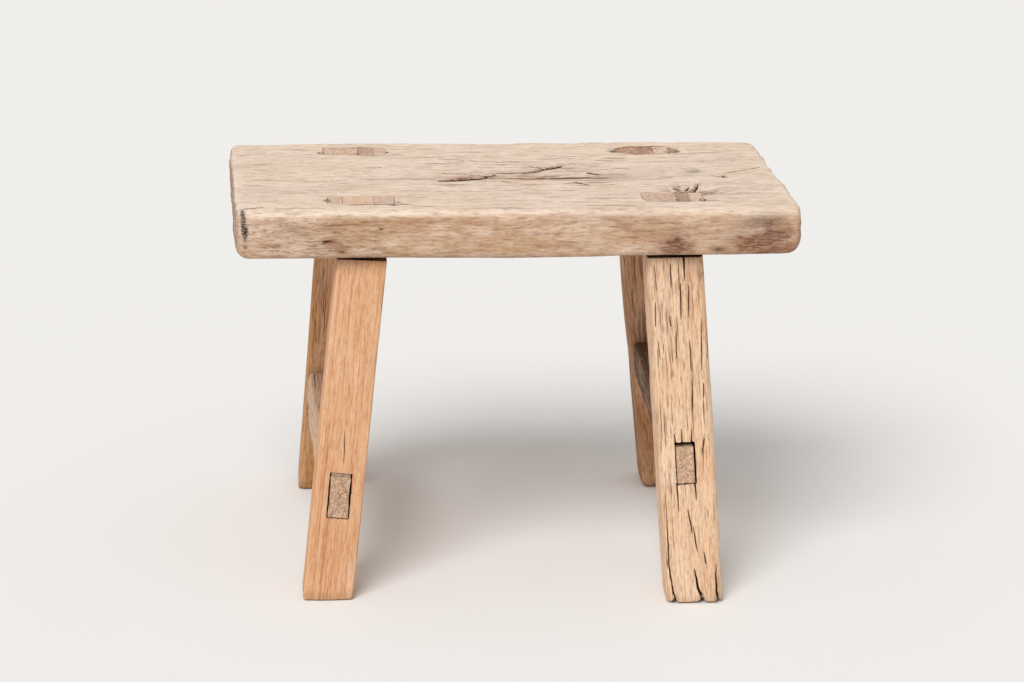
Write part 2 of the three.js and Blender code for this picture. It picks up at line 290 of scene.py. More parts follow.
class Skin:
    """A piece's points, normals and grain while its wear is worked out."""

    def __init__(self, obj, to_grain, pith, seed, bend=1.6):
        self.obj = obj
        self.seed = seed
        self.bend = bend  # how far the grain wanders sideways
        mesh = obj.data
        count = len(mesh.vertices)
        flat = np.zeros(count * 3)
        mesh.vertices.foreach_get("co", flat)
        self.points = flat.reshape(-1, 3) / MM
        mesh.vertex_normals.foreach_get("vector", flat)
        self.normals = flat.reshape(-1, 3).copy()
        self.grain = to_grain(self.points)
        self.pith = pith
        self.inward = np.zeros(count)
        self.lift = np.zeros(count)
        self.crack = np.zeros((3, count, 3))  # three layers of distance, half-width and nothing
        self.crack[:, :, 0] = FAR
        self.marks, self.wear, self.tone = np.zeros((3, count, 3))

    def noise(self, size, seed):
        """Noise that follows the piece's own grain."""
        return noise(self.grain, size, self.seed * 100 + seed)

    def bumps(self, size, seed):
        """Noise that follows the frame's x, y and z."""
        return noise(self.points, size, seed)

    def weather(self, low, middle, ridge):
        """Uneven working and weathering, in millimetres: long swells, shallow hollows and raised grain."""
        self.inward += low * self.noise((90, 30, 30), 1)
        self.inward += middle * self.noise((28, 7, 7), 2)
        self.inward += ridge * self.noise((45, 1.9, 1.9), 3)

    def cracks(self, where, along, across, layers):
        """Cuts layers of cracks into the face that the mask gives, at places along and across the grain."""
        where = np.flatnonzero(where)
        for i, cracks in enumerate(layers):
            if cracks:
                near, width, depth = cracks_near(along[where], across[where], cracks, self.seed + 7 * i)
                self.crack[i, where, 0] = near
                self.crack[i, where, 1] = width
                self.inward[where] += depth

    def keep_clear(self, where):
        """Walls inside a joint only wear away from the other piece, so that the two stay apart."""
        self.inward = np.where(where, np.maximum(self.inward, 0), self.inward)

    def finish(self, material, node):
        moved = self.points - self.normals * self.inward[:, None]
        moved[:, 2] += self.lift
        mesh = self.obj.data
        mesh.vertices.foreach_set("co", (moved * MM).ravel())
        bend = np.stack([self.noise((70, 22, 22), 50 + i) for i in range(2)], 1)
        grain = self.grain.copy()
        grain[:, 1:] += self.bend * bend
        ring = np.hypot(grain[:, 1] - self.pith[0], grain[:, 2] - self.pith[1])
        grain += 137.0 * self.seed  # no two pieces are cut from the same wood
        self.store("grain", "FLOAT_VECTOR", "vector", grain)
        self.store("ring", "FLOAT", "value", ring)
        for i, layer in enumerate(self.crack):
            self.store(f"crack_{i}", "FLOAT_VECTOR", "vector", layer)
        for name, amounts in (("marks", self.marks), ("wear", self.wear), ("tone", self.tone)):
            self.store(name, "FLOAT_VECTOR", "vector", np.clip(amounts, 0, 1))
        mesh.shade_smooth()
        mesh.set_sharp_from_angle(angle=math.radians(55))
        mesh.update()
        mesh.materials.clear()
        mesh.materials.append(material)
        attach(self.obj, "root")
        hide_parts(node)

    def store(self, name, kind, field, values):
        attribute = self.obj.data.attributes.new(name, kind, "POINT")
        attribute.data.foreach_set(field, values.astype(np.float32).ravel())


# Materials.

REDDISH_BLACK = (0.21, 0.085, 0.045, 1)
REDDISH_BROWN = (0.24, 0.092, 0.052, 1)
BLACK = (0.03, 0.022, 0.02, 1)
# The dark brown of dirt and of painted shade.
DIRT_AND_SHADE_BROWN = (0.075, 0.036, 0.02, 1)
# The cracks' colours paint the shade inside them, blackest where they are widest.
CRACK_BROWN = (0.15, 0.067, 0.036, 1)
CRACK_BLACK = (0.035, 0.018, 0.012, 1)


class Wood:
    """Builds one wood material's nodes. Lengths inside it are in millimetres of grain."""

    def __init__(self, name):
        self.material = bpy.data.materials.new(name)
        self.material.use_nodes = True
        self.tree = self.material.node_tree
        self.tree.nodes.clear()

    def node(self, kind, inputs, output=0, **settings):
        made = self.tree.nodes.new(kind)
        for key, value in settings.items():
            setattr(made, key, value)
        for key, value in inputs.items():
            if isinstance(value, bpy.types.NodeSocket):
                self.tree.links.new(value, made.inputs[key])
            else:
                made.inputs[key].default_value = value
        return made.outputs[output]

    def attribute(self, name, output="Vector"):
        return self.node("ShaderNodeAttribute", {}, output, attribute_name=name)

    def split(self, vector):
        made = self.tree.nodes.new("ShaderNodeSeparateXYZ")
        self.tree.links.new(vector, made.inputs[0])
        return made.outputs

    def math(self, operation, a, b=0.0):
        return self.node("ShaderNodeMath", {0: a, 1: b}, operation=operation)

    def times(self, a, b):
        return self.math("MULTIPLY", a, b)

    def largest(self, masks):
        total = masks[0]
        for mask in masks[1:]:
            total = self.math("MAXIMUM", total, mask)
        return total

    def stretched(self, vector, scale):
        return self.node("ShaderNodeVectorMath", {0: vector, 1: scale}, operation="MULTIPLY")

    def noise(self, vector, scale, detail=2.0, roughness=0.5, distortion=0.0):
        inputs = {
            "Vector": self.stretched(vector, scale), "Scale": 1.0, "Detail": detail, "Roughness": roughness,
            "Distortion": distortion,
        }
        return self.node("ShaderNodeTexNoise", inputs)

    def between(self, value, low, high):
        """0 below low, 1 above high and smooth between them. low may be above high."""
        inputs = {"Value": value, "From Min": low, "From Max": high, "To Min": 0.0, "To Max": 1.0}
        return self.node("ShaderNodeMapRange", inputs, interpolation_type="SMOOTHSTEP")

    def mix(self, factor, a, b, blend="MIX"):
        made = self.tree.nodes.new("ShaderNodeMix")
        made.data_type = "RGBA"
        made.blend_type = blend
        for key, value in ((0, factor), (6, a), (7, b)):
            if isinstance(value, bpy.types.NodeSocket):
                self.tree.links.new(value, made.inputs[key])
            else:
                made.inputs[key].default_value = value
        return made.outputs[2]

    def patterns(self, grain, size, short, ring_size):
        """The noise that the wood is made of: growth rings, whose spacing varies, streaks, fibres and pores
        along the grain, and unevenness of other kinds."""
        across = 1.0 / size
        rings = self.node("ShaderNodeCombineXYZ", {0: self.split(grain)[0], 1: self.attribute("ring", "Fac")})
        return {
            "band": self.noise(rings, (0.004, 1.0 / ring_size, 1.0), 2.5, 0.6),
            "streak": self.noise(grain, (0.009 * short, 0.42 * across, 0.42 * across), 5.0, 0.68),
            "fibre": self.noise(grain, (0.03 * short, 1.3 * across, 1.3 * across), 3.0, 0.6),
            "pore": self.noise(grain, (0.07, 1.0 * across, 1.0 * across), 1.5, 0.5),
            "blotch": self.noise(grain, (0.011, 0.035, 0.035), 4.0, 0.55),
            "cloud": self.noise(grain, (0.03, 0.09, 0.09), 5.0, 0.6),
            "speck": self.noise(grain, (0.5, 1.6, 1.6), 3.0, 0.6),
            "fleck": self.noise(grain, (0.16, 0.8, 0.8), 3.0, 0.65, 0.6),
            "mottle": self.noise(grain, (0.14, 0.7, 0.7), 3.0, 0.7),
            "pith": self.noise(grain, (0.9, 1.1, 0.8), 4.0, 0.7),
        }

    def crack_masks(self, speck):
        """Where a crack is open, where it has brown lips and where it is deep."""
        ragged = self.times(self.math("SUBTRACT", speck, 0.5), 0.35)
        opened, lips, deepest = [], [], []
        for i in range(3):
            near, width, _ = self.split(self.attribute(f"crack_{i}"))
            over = self.math("SUBTRACT", self.math("ABSOLUTE", self.math("ADD", near, ragged)), width)
            real = self.between(width, 0.0, 0.2)
            core = self.times(self.between(over, 0.1, -0.08), real)
            opened.append(core)
            lips.append(self.times(self.between(over, 0.5, 0.0), real))
            deepest.append(self.times(core, self.between(width, 0.12, 0.5)))
        return self.largest(opened), self.largest(lips), self.largest(deepest)

    def build(
        self, colours, tint=(1, 1, 1), size=1.0, short=1.0, bands=0.5, streaks=0.5, pores=0.4,
        blotches=0.5, ring_size=1.8, relief=1.0,
    ):
        """colours are the wood's own pale, middle and dark colour and the one it greys to, from 0 to 255,
        and tint is what its brown faces are multiplied by. size is the grain's coarseness and short how short
        its fibres are. The rest are how strongly each feature shows."""
        pale, mid, dark, aged = (rgb(*colour) for colour in colours)
        grain = self.attribute("grain")
        stain, red, grey = self.split(self.attribute("marks"))
        worn_and_highlight, end, dirt = self.split(self.attribute("wear"))
        brown, flecked, _ = self.split(self.attribute("tone"))
        kinds = self.patterns(grain, size, short, ring_size)
        streak, cloud, speck, fleck = (kinds[name] for name in ("streak", "cloud", "speck", "fleck"))
        mottle, pith = kinds["mottle"], kinds["pith"]
        opened, lips, deepest = self.crack_masks(speck)

        # Each layer of colour covers those before it: how strongly, where, and with which colour.
        fibre_mask = self.times(self.between(kinds["fibre"], 0.5, 0.66), 0.8 * streaks)
        pore_mask = self.times(self.between(kinds["pore"], 0.61, 0.67), pores)
        fleck_mask = self.times(flecked, self.between(fleck, 0.54, 0.64))
        grey_mask = self.times(self.between(kinds["blotch"], 0.48, 0.72), blotches)
        uneven = self.math("ADD", self.times(self.between(fleck, 0.35, 0.6), 0.6), 0.4)
        end_dark = self.times(end, self.between(pith, 0.47, 0.6))
        end_light = self.times(end, self.between(pith, 0.47, 0.36))
        wood = [
            (self.times(self.between(kinds["band"], 0.42, 0.66), bands), mid),
            (self.times(self.between(cloud, 0.4, 0.7), blotches), mid),
            (self.largest([grey_mask, grey]), aged),
            (self.times(self.between(streak, 0.5, 0.68), streaks), dark),
            (self.times(self.between(streak, 0.5, 0.36), 0.8 * streaks), pale),
            (fibre_mask, dark),
            (self.times(self.between(mottle, 0.5, 0.64), 0.38), dark),
            (self.times(self.between(mottle, 0.5, 0.36), 0.4), pale),
            # Worn, bleached places and the painted highlights along edges turn pale.
            (self.times(worn_and_highlight, 0.6), pale),
            (pore_mask, (*[0.5 * c for c in dark[:3]], 1)),
        ]
        wear = [
            (fleck_mask, REDDISH_BLACK),
            (self.times(red, uneven), REDDISH_BROWN),
            (self.times(stain, self.between(speck, 0.25, 0.55)), BLACK),
            (self.times(end_dark, 0.5), dark),
            (self.times(end_light, 0.7), pale),
            # Dirt, and painted shade under the seat, in the joints' gaps and on the right stretcher, turn
            # dark brown.
            (self.times(dirt, self.between(cloud, 0.1, 0.55)), DIRT_AND_SHADE_BROWN),
            # Painted shade in the cracks: their lips darker, open cracks dark brown and the widest black.
            (self.times(lips, 0.5), dark),
            (opened, CRACK_BROWN),
            (deepest, CRACK_BLACK),
        ]
        colour = pale
        for mask, over in wood:
            colour = self.mix(mask, colour, over)
        colour = self.mix(brown, colour, (*tint, 1), "MULTIPLY")
        for mask, over in wear:
            colour = self.mix(mask, colour, over)

        # Relief, in millimetres.
        height = self.times(kinds["band"], -0.3 * relief)
        layers = ((streak, 0.5 * relief), (kinds["fibre"], 0.3 * relief), (pore_mask, 0.15), (opened, 0.9))
        layers += ((speck, 0.1 * relief), (end_dark, 0.25), (fleck_mask, 0.1))
        for mask, depth in layers:
            deeper = self.math("MULTIPLY_ADD", mask, -depth)
            self.tree.links.new(height, deeper.node.inputs[2])
            height = deeper
        bump = self.node("ShaderNodeBump", {"Strength": 1.0, "Distance": MM, "Height": height}, "Normal")

        limits = {"Value": cloud, "From Min": 0.3, "From Max": 0.7, "To Min": 0.66, "To Max": 0.9}
        rough = self.largest([self.node("ShaderNodeMapRange", limits), self.times(opened, 0.95)])
        surface = self.node(
            "ShaderNodeBsdfPrincipled",
            {"Base Color": colour, "Roughness": rough, "Normal": bump, "Specular IOR Level": 0.22},
        )
        target = self.tree.nodes.new("ShaderNodeOutputMaterial")
        self.tree.links.new(surface, target.inputs["Surface"])
        return self.material


def rgb(red, green, blue):
    """A colour as it looks on a screen, from 0 to 255, turned to the linear values that shaders use."""
    parts = [c / 255 for c in (red, green, blue)]
    return (*[c / 12.92 if c <= 0.04045 else ((c + 0.055) / 1.055) ** 2.4 for c in parts], 1.0)


# Places in the frame.


def axis_at(leg, z):
    share = z / SEAT_BOTTOM
    return [leg["foot"][i] + (leg["top"][i] - leg["foot"][i]) * share for i in (0, 1)]


def joint_lines(leg, side):
    """The joints beside a tenon, outwards from it, as their x at the seat's top and at its underside."""
    start = leg["tenon"][0 if side < 0 else 1]
    lines = [(start, start)]
    for thickness in leg["left" if side < 0 else "right"]:
        top, bottom = lines[-1]
        lines.append((top + side * (thickness + GAP), bottom + side * (thickness * leg["taper"] + GAP)))
    return lines


def line_at(line, z):
    return line[1] + (line[0] - line[1]) * (z - SEAT_BOTTOM) / SEAT_THICKNESS


def round_in(distance, radius):
    """How far a rounded edge lies inside its square corner, at a distance from the end."""
    short = radius - np.minimum(distance, radius)
    return radius - np.sqrt(radius * radius - short * short)


def stations(low, high, spacing, low_round, high_round, arc=8):
    """Places from low to high, close together where the ends are rounded."""
    turns = 1 - np.sin(np.linspace(math.pi / 2, 0, arc + 1))
    start = low + low_round * turns
    end = high - high_round * turns[::-1]
    count = max(2, int(round((end[0] - start[-1]) / spacing)))
    return np.concatenate([start, np.linspace(start[-1], end[0], count + 1)[1:-1], end])


# The seat.


def seat_rows():
    """Rows of (y, z) rings from the left end to the right one. The corners and edges are rounder at the ends,
    and the ends aren't square."""
    rows = []
    for x in stations(-SEAT_HALF_LENGTH, SEAT_HALF_LENGTH, 2.3, 14, 14, 12):
        left = x < 0
        distance = SEAT_HALF_LENGTH - abs(x)
        front = SEAT_HALF_DEPTH - round_in(distance, 9 if left else 6)
        back = SEAT_HALF_DEPTH - round_in(distance, 14)
        low = SEAT_BOTTOM + round_in(distance, 10 if left else 12)
        low += np.interp(x, (-200, -10, 50, 75, 150, 190), (0, -0.5, 0, 0.7, 0.7, 1.5))
        high = SEAT_TOP - round_in(distance, 4)
        ring = outline(-front, back, low, high, (2.5, 4, 4, 7), (60, 26, 256, 56), 6)
        y, z = ring.T
        x_left = -200.25 - 0.0275 * y
        x_right = 201 - 0.04 * y
        share = (x + SEAT_HALF_LENGTH) / (2 * SEAT_HALF_LENGTH)
        rows.append(np.stack([x_left + (x_right - x_left) * share, y, z], 1))
    return rows


def plug_rows(leg, heights, line_a, line_b, inset, spacing=0.9):
    """Rows of a plug in a leg's seat mortise, between two of its joint lines and inset from its walls."""
    first = joint_lines(leg, -1)[-1]
    last = joint_lines(leg, 1)[-1]
    rows = []
    across = max(3, int((line_b[0] - line_a[0]) / spacing))
    deep = max(6, int(leg["tenon_depth"] / spacing))
    for z in heights:
        low, high = line_at(first, z) - GAP, line_at(last, z) + GAP
        a, b = line_at(line_a, z) + inset, line_at(line_b, z) - inset
        middle, reach = (low + high) / 2, (high - low) / 2

        def half_depth(x):
            t = np.clip(np.abs(x - middle) / reach, 0, 0.97)
            power = leg["square"]
            return (leg["tenon_depth"] / 2 + GAP) * (1 - t**power) ** (1 / power) - inset

        x = np.linspace(a, b, across + 1)
        side = np.linspace(-1, 1, deep + 1)
        near = np.stack([x, -half_depth(x)], 1)
        right = np.stack([np.full(deep - 1, b), side[1:-1] * half_depth(b)], 1)
        far = np.stack([x[::-1], half_depth(x[::-1])], 1)
        left = np.stack([np.full(deep - 1, a), -side[1:-1] * half_depth(a)], 1)
        ring = np.concatenate([near, right, far, left])
        cx, cy = axis_at(leg, z)
        rows.append(np.stack([cx + ring[:, 0], cy + leg["shift"] + ring[:, 1], np.full(len(ring), z)], 1))
    return rows


def ragged(rows, amount, seed):
    """Rows pushed outwards by uneven amounts, for a cutter that leaves rough walls."""
    made = []
    for row in rows:
        centre = row.mean(0)
        out = row - centre
        out /= np.linalg.norm(out, axis=1)[:, None]
        rough = np.abs(noise(row, (2.2, 2.2, 2.2), seed))
        rough += 0.6 * np.abs(noise(row, (0.9, 0.9, 0.9), seed + 1))
        made.append(row + out * (amount * rough)[:, None])
    return made


def mortise_cutter(leg, seed):
    """A leg's seat mortise, with rough walls."""
    heights = np.concatenate([np.linspace(SEAT_BOTTOM - 6, 276, 14), np.linspace(277, SEAT_TOP + 4, 9)])
    first = joint_lines(leg, -1)[-1]
    last = joint_lines(leg, 1)[-1]
    points, faces = loft(ragged(plug_rows(leg, heights, first, last, 0), 0.3, seed), 4)
    return new_object("mortise", points, faces)


def blob(x, y, at, size):
    """1 at a place on a face, fading to 0 with distance."""
    return np.exp(-(((x - at[0]) / size[0]) ** 2) - ((y - at[1]) / size[1]) ** 2)


# Cracks in the seat's top, as (x, y) lines: the long shake that wanders along the middle, with its branches,
# then hairlines.
SEAT_CRACKS = [
    ([(-52, -14.8), (-33, -11.5), (-18, -7), (-6, 3)], 2.3, 3.2),
    ([(12, 6.5), (23, 12), (31, 20), (45, 26.5)], 2.0, 3.0),
    ([(-6, -8), (23, -8.5), (58, -8), (80, -9)], 1.3, 1.8),
    ([(-105, -8), (-73, -7.5), (-50, -9.5)], 0.7, 0.9),
    ([(-48, 8), (-28, 5), (-6, -5)], 0.6, 0.8),
    ([(-14, 7), (5, 8), (24, 10)], 1.1, 1.4),
    ([(18, 29), (30, 20)], 0.6, 0.8),
    ([(-6, -14), (9, -20)], 0.9, 1.0),
    ([(47, -18), (59, -29)], 0.9, 0.9),
    ([(60, 7), (72, 0)], 1.3, 1.4),
    ([(-1, 42.5), (31, 42)], 0.25, 0.4),
    ([(-38, 47), (-12, 42), (8, 39)], 0.3, 0.5),
    ([(-4, 25), (34, 25)], 0.25, 0.4),
    ([(-191, -11), (-135, -13.5), (-114, -10.5)], 0.3, 0.6),
    ([(-80, -40), (-45, -42), (-12, -45)], 0.3, 0.5),
    ([(-198, 59.5), (-173, 67)], 0.4, 0.7),
    ([(-197.5, -92), (-175, -85)], 0.5, 1.0),
    ([(-152, 80), (-135, 75)], 0.3, 0.5),
    ([(-99, 80), (-72, 78)], 0.25, 0.5),
    ([(-97, 23), (-90, 26)], 0.5, 0.8),
    ([(-84, -78), (-56, -86)], 0.35, 0.6),
    ([(-148, -37), (-135, -41)], 0.25, 0.4),
    ([(-106, 56), (-93, 60)], 0.3, 0.5),
    ([(104, -15), (125, -7)], 0.35, 0.6),
    ([(132, -52), (138.5, -32)], 0.9, 2.2),
    ([(118, -37), (127, -44), (131, -50)], 0.8, 1.4),
    ([(126, -50), (130, -41), (132, -33)], 0.7, 1.4),
    ([(139, -56), (147, -50), (152, -47)], 0.4, 0.8),
    ([(112, -50), (119, -54)], 0.4, 0.8),
    ([(99.4, -54.6), (106, -53)], 0.3, 0.6),
    ([(92, -66.5), (100, -63.5)], 0.3, 0.6),
    ([(160, 1), (174, 9), (193, 21)], 0.4, 0.8),
    ([(150, -4), (163, -13)], 0.5, 0.8),
    ([(139, -69), (149, -68)], 0.4, 0.8),
    ([(-40, -90), (10, -92)], 0.25, 0.4),
]
FRONT_CRACKS = [
    ([(-136, 258.2), (-130, 259.6)], 0.6, 0.8),
    ([(-97.5, 267.4), (-92.5, 267.8)], 0.35, 0.5),
]
# Pits in the seat's top and in the joints' ends, with their place, size and depth.
SEAT_PITS = [
    ((136.3, -71), (1.7, 3), 2.5), ((118.8, -70.6), (1.0, 1.6), 1.6), ((160, -8), (2, 3), 1.0),
    ((-131.6, -68.7), (1.8, 3.2), 1.6), ((-81.5, -74.4), (1.4, 1.4), 0.8), ((-85, -80.6), (2.6, 1.4), 0.6),
    ((-135, 69.5), (1.6, 2.4), 1.2), ((-106, 64.7), (1.2, 1.5), 0.8), ((-84.7, 70.5), (1.5, 1.6), 0.8),
    ((86.6, 71.2), (2.2, 3.2), 1.0), ((134.8, 70.1), (1.8, 3), 1.0), ((128.3, 68.9), (2.4, 1.2), 0.6),
    ((117.7, 79.1), (3.2, 1.6), 0.6),
]


# Stains on the seat's front: which mark, how strong, how much of it is patchy, its x and z, and its size.
FRONT_STAINS = [
    (DARK, 0.8, 0, (-190, 256), (1.4, 1.8)), (DARK, 0.35, 0, (-133, 258.8), (3.4, 1.6)),
    (DARK, 0.9, 0, (115.5, 258), (1.5, 3)), (DARK, 0.9, 0, (145.3, 251.6), (3.6, 2.3)),
    (DARK, 0.42, 1, (177, 271.5), (16, 7)), (DARK, 0.7, 1, (184, 260.5), (5, 3.5)),
    (DARK, 0.22, 1, (182, 256), (22, 9)), (DARK, 0.15, 0, (114, 254), (11, 7)),
    (RED, 1.9, 1, (181, 257), (23, 10)), (RED, 1.6, 1, (114, 255), (11, 8)),
    (RED, 0.9, 0, (-131, 259.2), (5.5, 1.6)), (RED, 0.9, 0, (-121.5, 251.5), (3.5, 1.7)),
    (RED, 0.5, 1, (-128, 255), (16, 5)), (RED, 0.5, 1, (-120, 272.3), (22, 1.6)),
    (RED, 0.4, 0, (-97, 265.5), (5, 2.5)), (GREY, 0.8, 0, (175, 271), (18, 7)),
    (GREY, 0.7, 0, (-95, 267.6), (3, 1.2)), (GREY, 0.4, 0, (58, 273), (20, 4)),
]
# Greyer patches of the seat's top: how strong, their place and their size.
GREY_PATCHES = [(0.3, (170, -40), (26, 34)), (0.35, (110, 5), (45, 22)), (0.35, (75, 0), (30, 12))]
# The reddish-brown halo round the shake: its places and their sizes.
SHAKE_HALO = [((-28, -8), (24, 6)), ((0, 1), (24, 9)), ((38, 22), (20, 7)), ((30, -8), (52, 5))]


def add_pits(skin, where):
    x, y, _ = skin.points.T
    for at, size, deep in SEAT_PITS:
        pit = np.where(where, blob(x, y, at, size), 0)
        skin.inward += deep * pit
        skin.marks[:, DARK] += 1.7 * pit


def specks(skin, seed):
    """Short dark fibres and dirt in the end grain of a joint's top."""
    fibres = step(skin.bumps((5, 1.1, 4), seed), 0.1, 0.8)
    return np.maximum(fibres, step(skin.bumps((1.5, 1.2, 2), seed + 1), 0.3, 0.9))


def wear_seat_edges(skin, end):
    """Wears the edges round unevenly and chips them in places. Returns where they are."""
    x, y, z = skin.points.T
    edge_x, edge_y, edge_z = SEAT_HALF_LENGTH - np.abs(x), SEAT_HALF_DEPTH - np.abs(y), SEAT_TOP - z
    along_edge = step(9 - edge_y, 0, 6) * step(9 - edge_z, 0, 6)
    end_edge = step(9 - edge_x, 0, 6) * step(10 - np.minimum(edge_z, z - SEAT_BOTTOM), 0, 6)
    arris = np.maximum(along_edge, end_edge)
    chips = step(skin.bumps((26, 26, 26), 11), 0.1, 0.7)
    nicks = step(skin.bumps((6, 4, 4), 12), 0.35, 0.8)
    skin.inward += arris * (0.8 * chips + 0.8 * nicks)
    skin.inward += end * (0.6 * skin.bumps((30, 24, 30), 13) + 0.6 * skin.bumps((9, 9, 5), 14))
    return arris


def crack_seat(skin, top, front, end):
    x, y, z = skin.points.T
    rng = np.random.default_rng(5)
    hairlines = checks(rng, (-65, 95), (-32, 60), 3.4, (9, 40), (6, 60), (0.06, 0.45), 0.35, 0.05)
    hairlines += checks(rng, (-194, 192), (-92, 92), 8, (9, 40), (20, 160), (0.05, 0.3), 0.25, 0.04)
    skin.cracks(top, x, y, layered(SEAT_CRACKS + hairlines))
    hairlines = checks(rng, (-188, 190), (249, 277), 5, (6, 34), (60, 260), (0.02, 0.1), 0.2, 0.03)
    skin.cracks(front & ~top, x, z, layered(FRONT_CRACKS + hairlines))
    hairlines = checks(rng, (-90, 90), (252, 277), 4.0, (8, 30), (10, 90), (0.1, 0.35), 0.8, 0.05)
    skin.cracks((end > 0.5) & (np.abs(skin.crack[0, :, 0]) > 40), y, z, layered(hairlines))


def crush_seat(skin, top):
    """Dents the top and crushes it round the front right joint, where its fibres fan out. Returns where it
    is crushed."""
    x, y, _ = skin.points.T
    dent = blob(x, y, (139, 14), (5, 8)) + blob(x, y, (143, 20), (3, 4))
    skin.inward += np.where(top, 1.3 * np.clip(dent, 0, 1), 0)
    crushed = np.where(top, blob(x, y, (127, -50), (20, 14)), 0)
    skin.inward += crushed * (0.4 + skin.bumps((6, 5, 6), 16))
    fan_x, fan_y = x - 121, y + 67
    turn = np.stack([16 * np.arctan2(fan_y, fan_x), np.hypot(fan_x, fan_y) / 12, 0 * x], 1)
    fan = np.where(top, blob(x, y, (135, -47), (18, 15)), 0) * step(noise(turn, (1, 1, 1), 28), -0.1, 0.5)
    skin.inward += 0.6 * fan
    skin.marks[:, RED] += 1.6 * fan
    skin.marks[:, DARK] += 0.35 * fan
    return crushed


def stain_top(skin, top, crushed):
    x, y, _ = skin.points.T
    marks = np.zeros((len(x), 3))
    # The joints have gathered reddish dirt on both sides, and more of it in front.
    for leg in LEGS.values():
        cx, cy = axis_at(leg, SEAT_TOP)
        for side, amount in ((-1, 1.6), (1, 0.8)):
            level = cy + leg["shift"] + side * (leg["tenon_depth"] / 2 + 0.6)
            line = blob(x, y, (cx + 2, level), (26, 1.3)) * (0.6 + 0.9 * skin.bumps((7, 2, 9), 21))
            marks[:, RED] += np.clip(amount * line, 0, 1)
    for at, size in SHAKE_HALO:
        halo = blob(x, y, at, size) * (0.7 + 0.8 * skin.bumps((14, 3, 9), 24))
        marks[:, RED] += 0.75 * np.clip(halo, 0, 1)
    marks[:, RED] += 0.8 * step(skin.crack[0, :, 1], 0.3, 1.4)
    knot = 1.2 * blob(x, y, (139.5, 11), (5, 7)) * (0.8 + 0.5 * skin.bumps((4, 4, 4), 25))
    marks[:, DARK] += 0.4 * knot + 0.5 * blob(x, y, (143, 13), (1.6, 5))
    marks[:, GREY] += knot + 0.3 * crushed
    for amount, at, size in GREY_PATCHES:
        marks[:, GREY] += amount * blob(x, y, at, size)
    skin.marks += np.where(top[:, None], marks, 0)


def stain_front(skin, front):
    x, _, z = skin.points.T
    marks = np.zeros((len(x), 3))
    patchy = np.clip(0.8 + 0.5 * skin.bumps((14, 14, 7), 18) + 0.45 * skin.bumps((5, 5, 3), 19), 0.1, 1.3)
    for mark, amount, is_patchy, at, size in FRONT_STAINS:
        marks[:, mark] += amount * (patchy if is_patchy else 1) * blob(x, z, at, size)
    uneven = 0.85 + 0.3 * skin.bumps((1.6, 3, 7), 23)
    marks[:, DARK] += 1.4 * step(blob(x + 0.1 * (z - 271), z, (-191, 271), (2.2, 12.5)) * uneven, 0.2, 0.5)
    marks[:, RED] += 0.35 * step(skin.bumps((7, 3, 0.9), 27), 0.2, 0.9)
    # A grey streak slants down to the right.
    slanted = x + 1.44 * (z - 266.6)
    marks[:, DARK] += 0.2 * patchy * blob(slanted, z, (-153.3, 266.6), (7, 8))
    marks[:, GREY] += 0.7 * blob(slanted, z, (-153.3, 266.6), (6, 7))
    skin.marks += np.where(front[:, None], marks, 0)


def colour_seat(skin, top, end, arris, hollow):
    x, _, z = skin.points.T
    sides = step(0.75 - skin.normals[:, 2], 0, 0.6)
    patches = 0.8 + 0.35 * skin.bumps((50, 30, 14), 22) + 0.3 * skin.bumps((11, 9, 4), 26)
    browner = 0.72 + 0.28 * step(x, -190, -60) + 0.2 * step(x, 60, 190)
    skin.tone[:, BROWN] = sides * patches * browner
    skin.tone[:, FLECKED] = (0.25 + 0.3 * step(-x, 40, 110)) * sides
    skin.tone[:, FLECKED] += np.where(top, 0.25 * step(1.2 * hollow, 0.3, 1), 0)
    # The top is bleached paler, and the edges are worn pale in patches, with a painted highlight along them.
    pale = arris * np.clip(0.1 + 0.9 * skin.bumps((16, 7, 7), 20), 0, 1)
    skin.wear[:, PALE] = np.where(top, 0.1 + 0.2 * hollow, 0) + pale
    skin.wear[:, END] = end
    # Painted shade darkens the underside and the lowest 7 mm of the sides; the ends are dirty.
    skin.wear[:, DIRT_AND_SHADE] = 0.2 * step(SEAT_BOTTOM + 7 - z, 0, 6) + 0.25 * end


def fit_seat(skin):
    """Keeps the seat clear of the legs and wedges, and paints shade on the underside that the legs cover."""
    x, y, z = skin.points.T
    nz = skin.normals[:, 2]
    for leg in LEGS.values():
        cx, cy = axis_at(leg, SEAT_BOTTOM)
        over = (np.abs(x - cx) < leg["width"] / 2) & (np.abs(y - cy) < leg["depth"] / 2) & (nz < -0.5)
        # Painted shade on the underside over each leg, above the gap at its shoulder.
        skin.wear[over, DIRT_AND_SHADE] = 1
        cx, cy = axis_at(leg, z)
        beside = (np.abs(x - cx) < leg["width"] / 2 + 12) & (np.abs(y - cy) < leg["depth"] / 2 + 3)
        skin.keep_clear(over | beside & (np.abs(nz) < WALL))


def make_seat(material):
    points, faces = loft(seat_rows(), 9)
    seat = new_object("seat", points, faces)
    for i, leg in enumerate(LEGS.values()):
        combine(seat, mortise_cutter(leg, 40 + i), "DIFFERENCE")
    skin = Skin(seat, lambda p: p - (0, 0, SEAT_BOTTOM), (24, -95), 1)
    x, y, z = skin.points.T
    nx, _, nz = skin.normals.T
    top = (z > SEAT_TOP - 4.6) & (nz > 0.2)
    front = (y < -SEAT_HALF_DEPTH + 8) & (np.abs(nx) < 0.7)
    end = step(np.abs(nx), 0.6, 0.9) * (np.abs(x) > 180)
    hollow = blob(x, y, (-10, 0), (150, 80))
    skin.weather(0.35, 0.2, 0.08)
    arris = wear_seat_edges(skin, end)
    skin.inward += np.where(top, 0.9 * hollow, 0)
    crack_seat(skin, top, front, end)
    crushed = crush_seat(skin, top)
    add_pits(skin, top)
    stain_top(skin, top, crushed)
    stain_front(skin, front)
    colour_seat(skin, top, end, arris, hollow)
    fit_seat(skin)
    skin.finish(material, "seat_board")


# The legs.


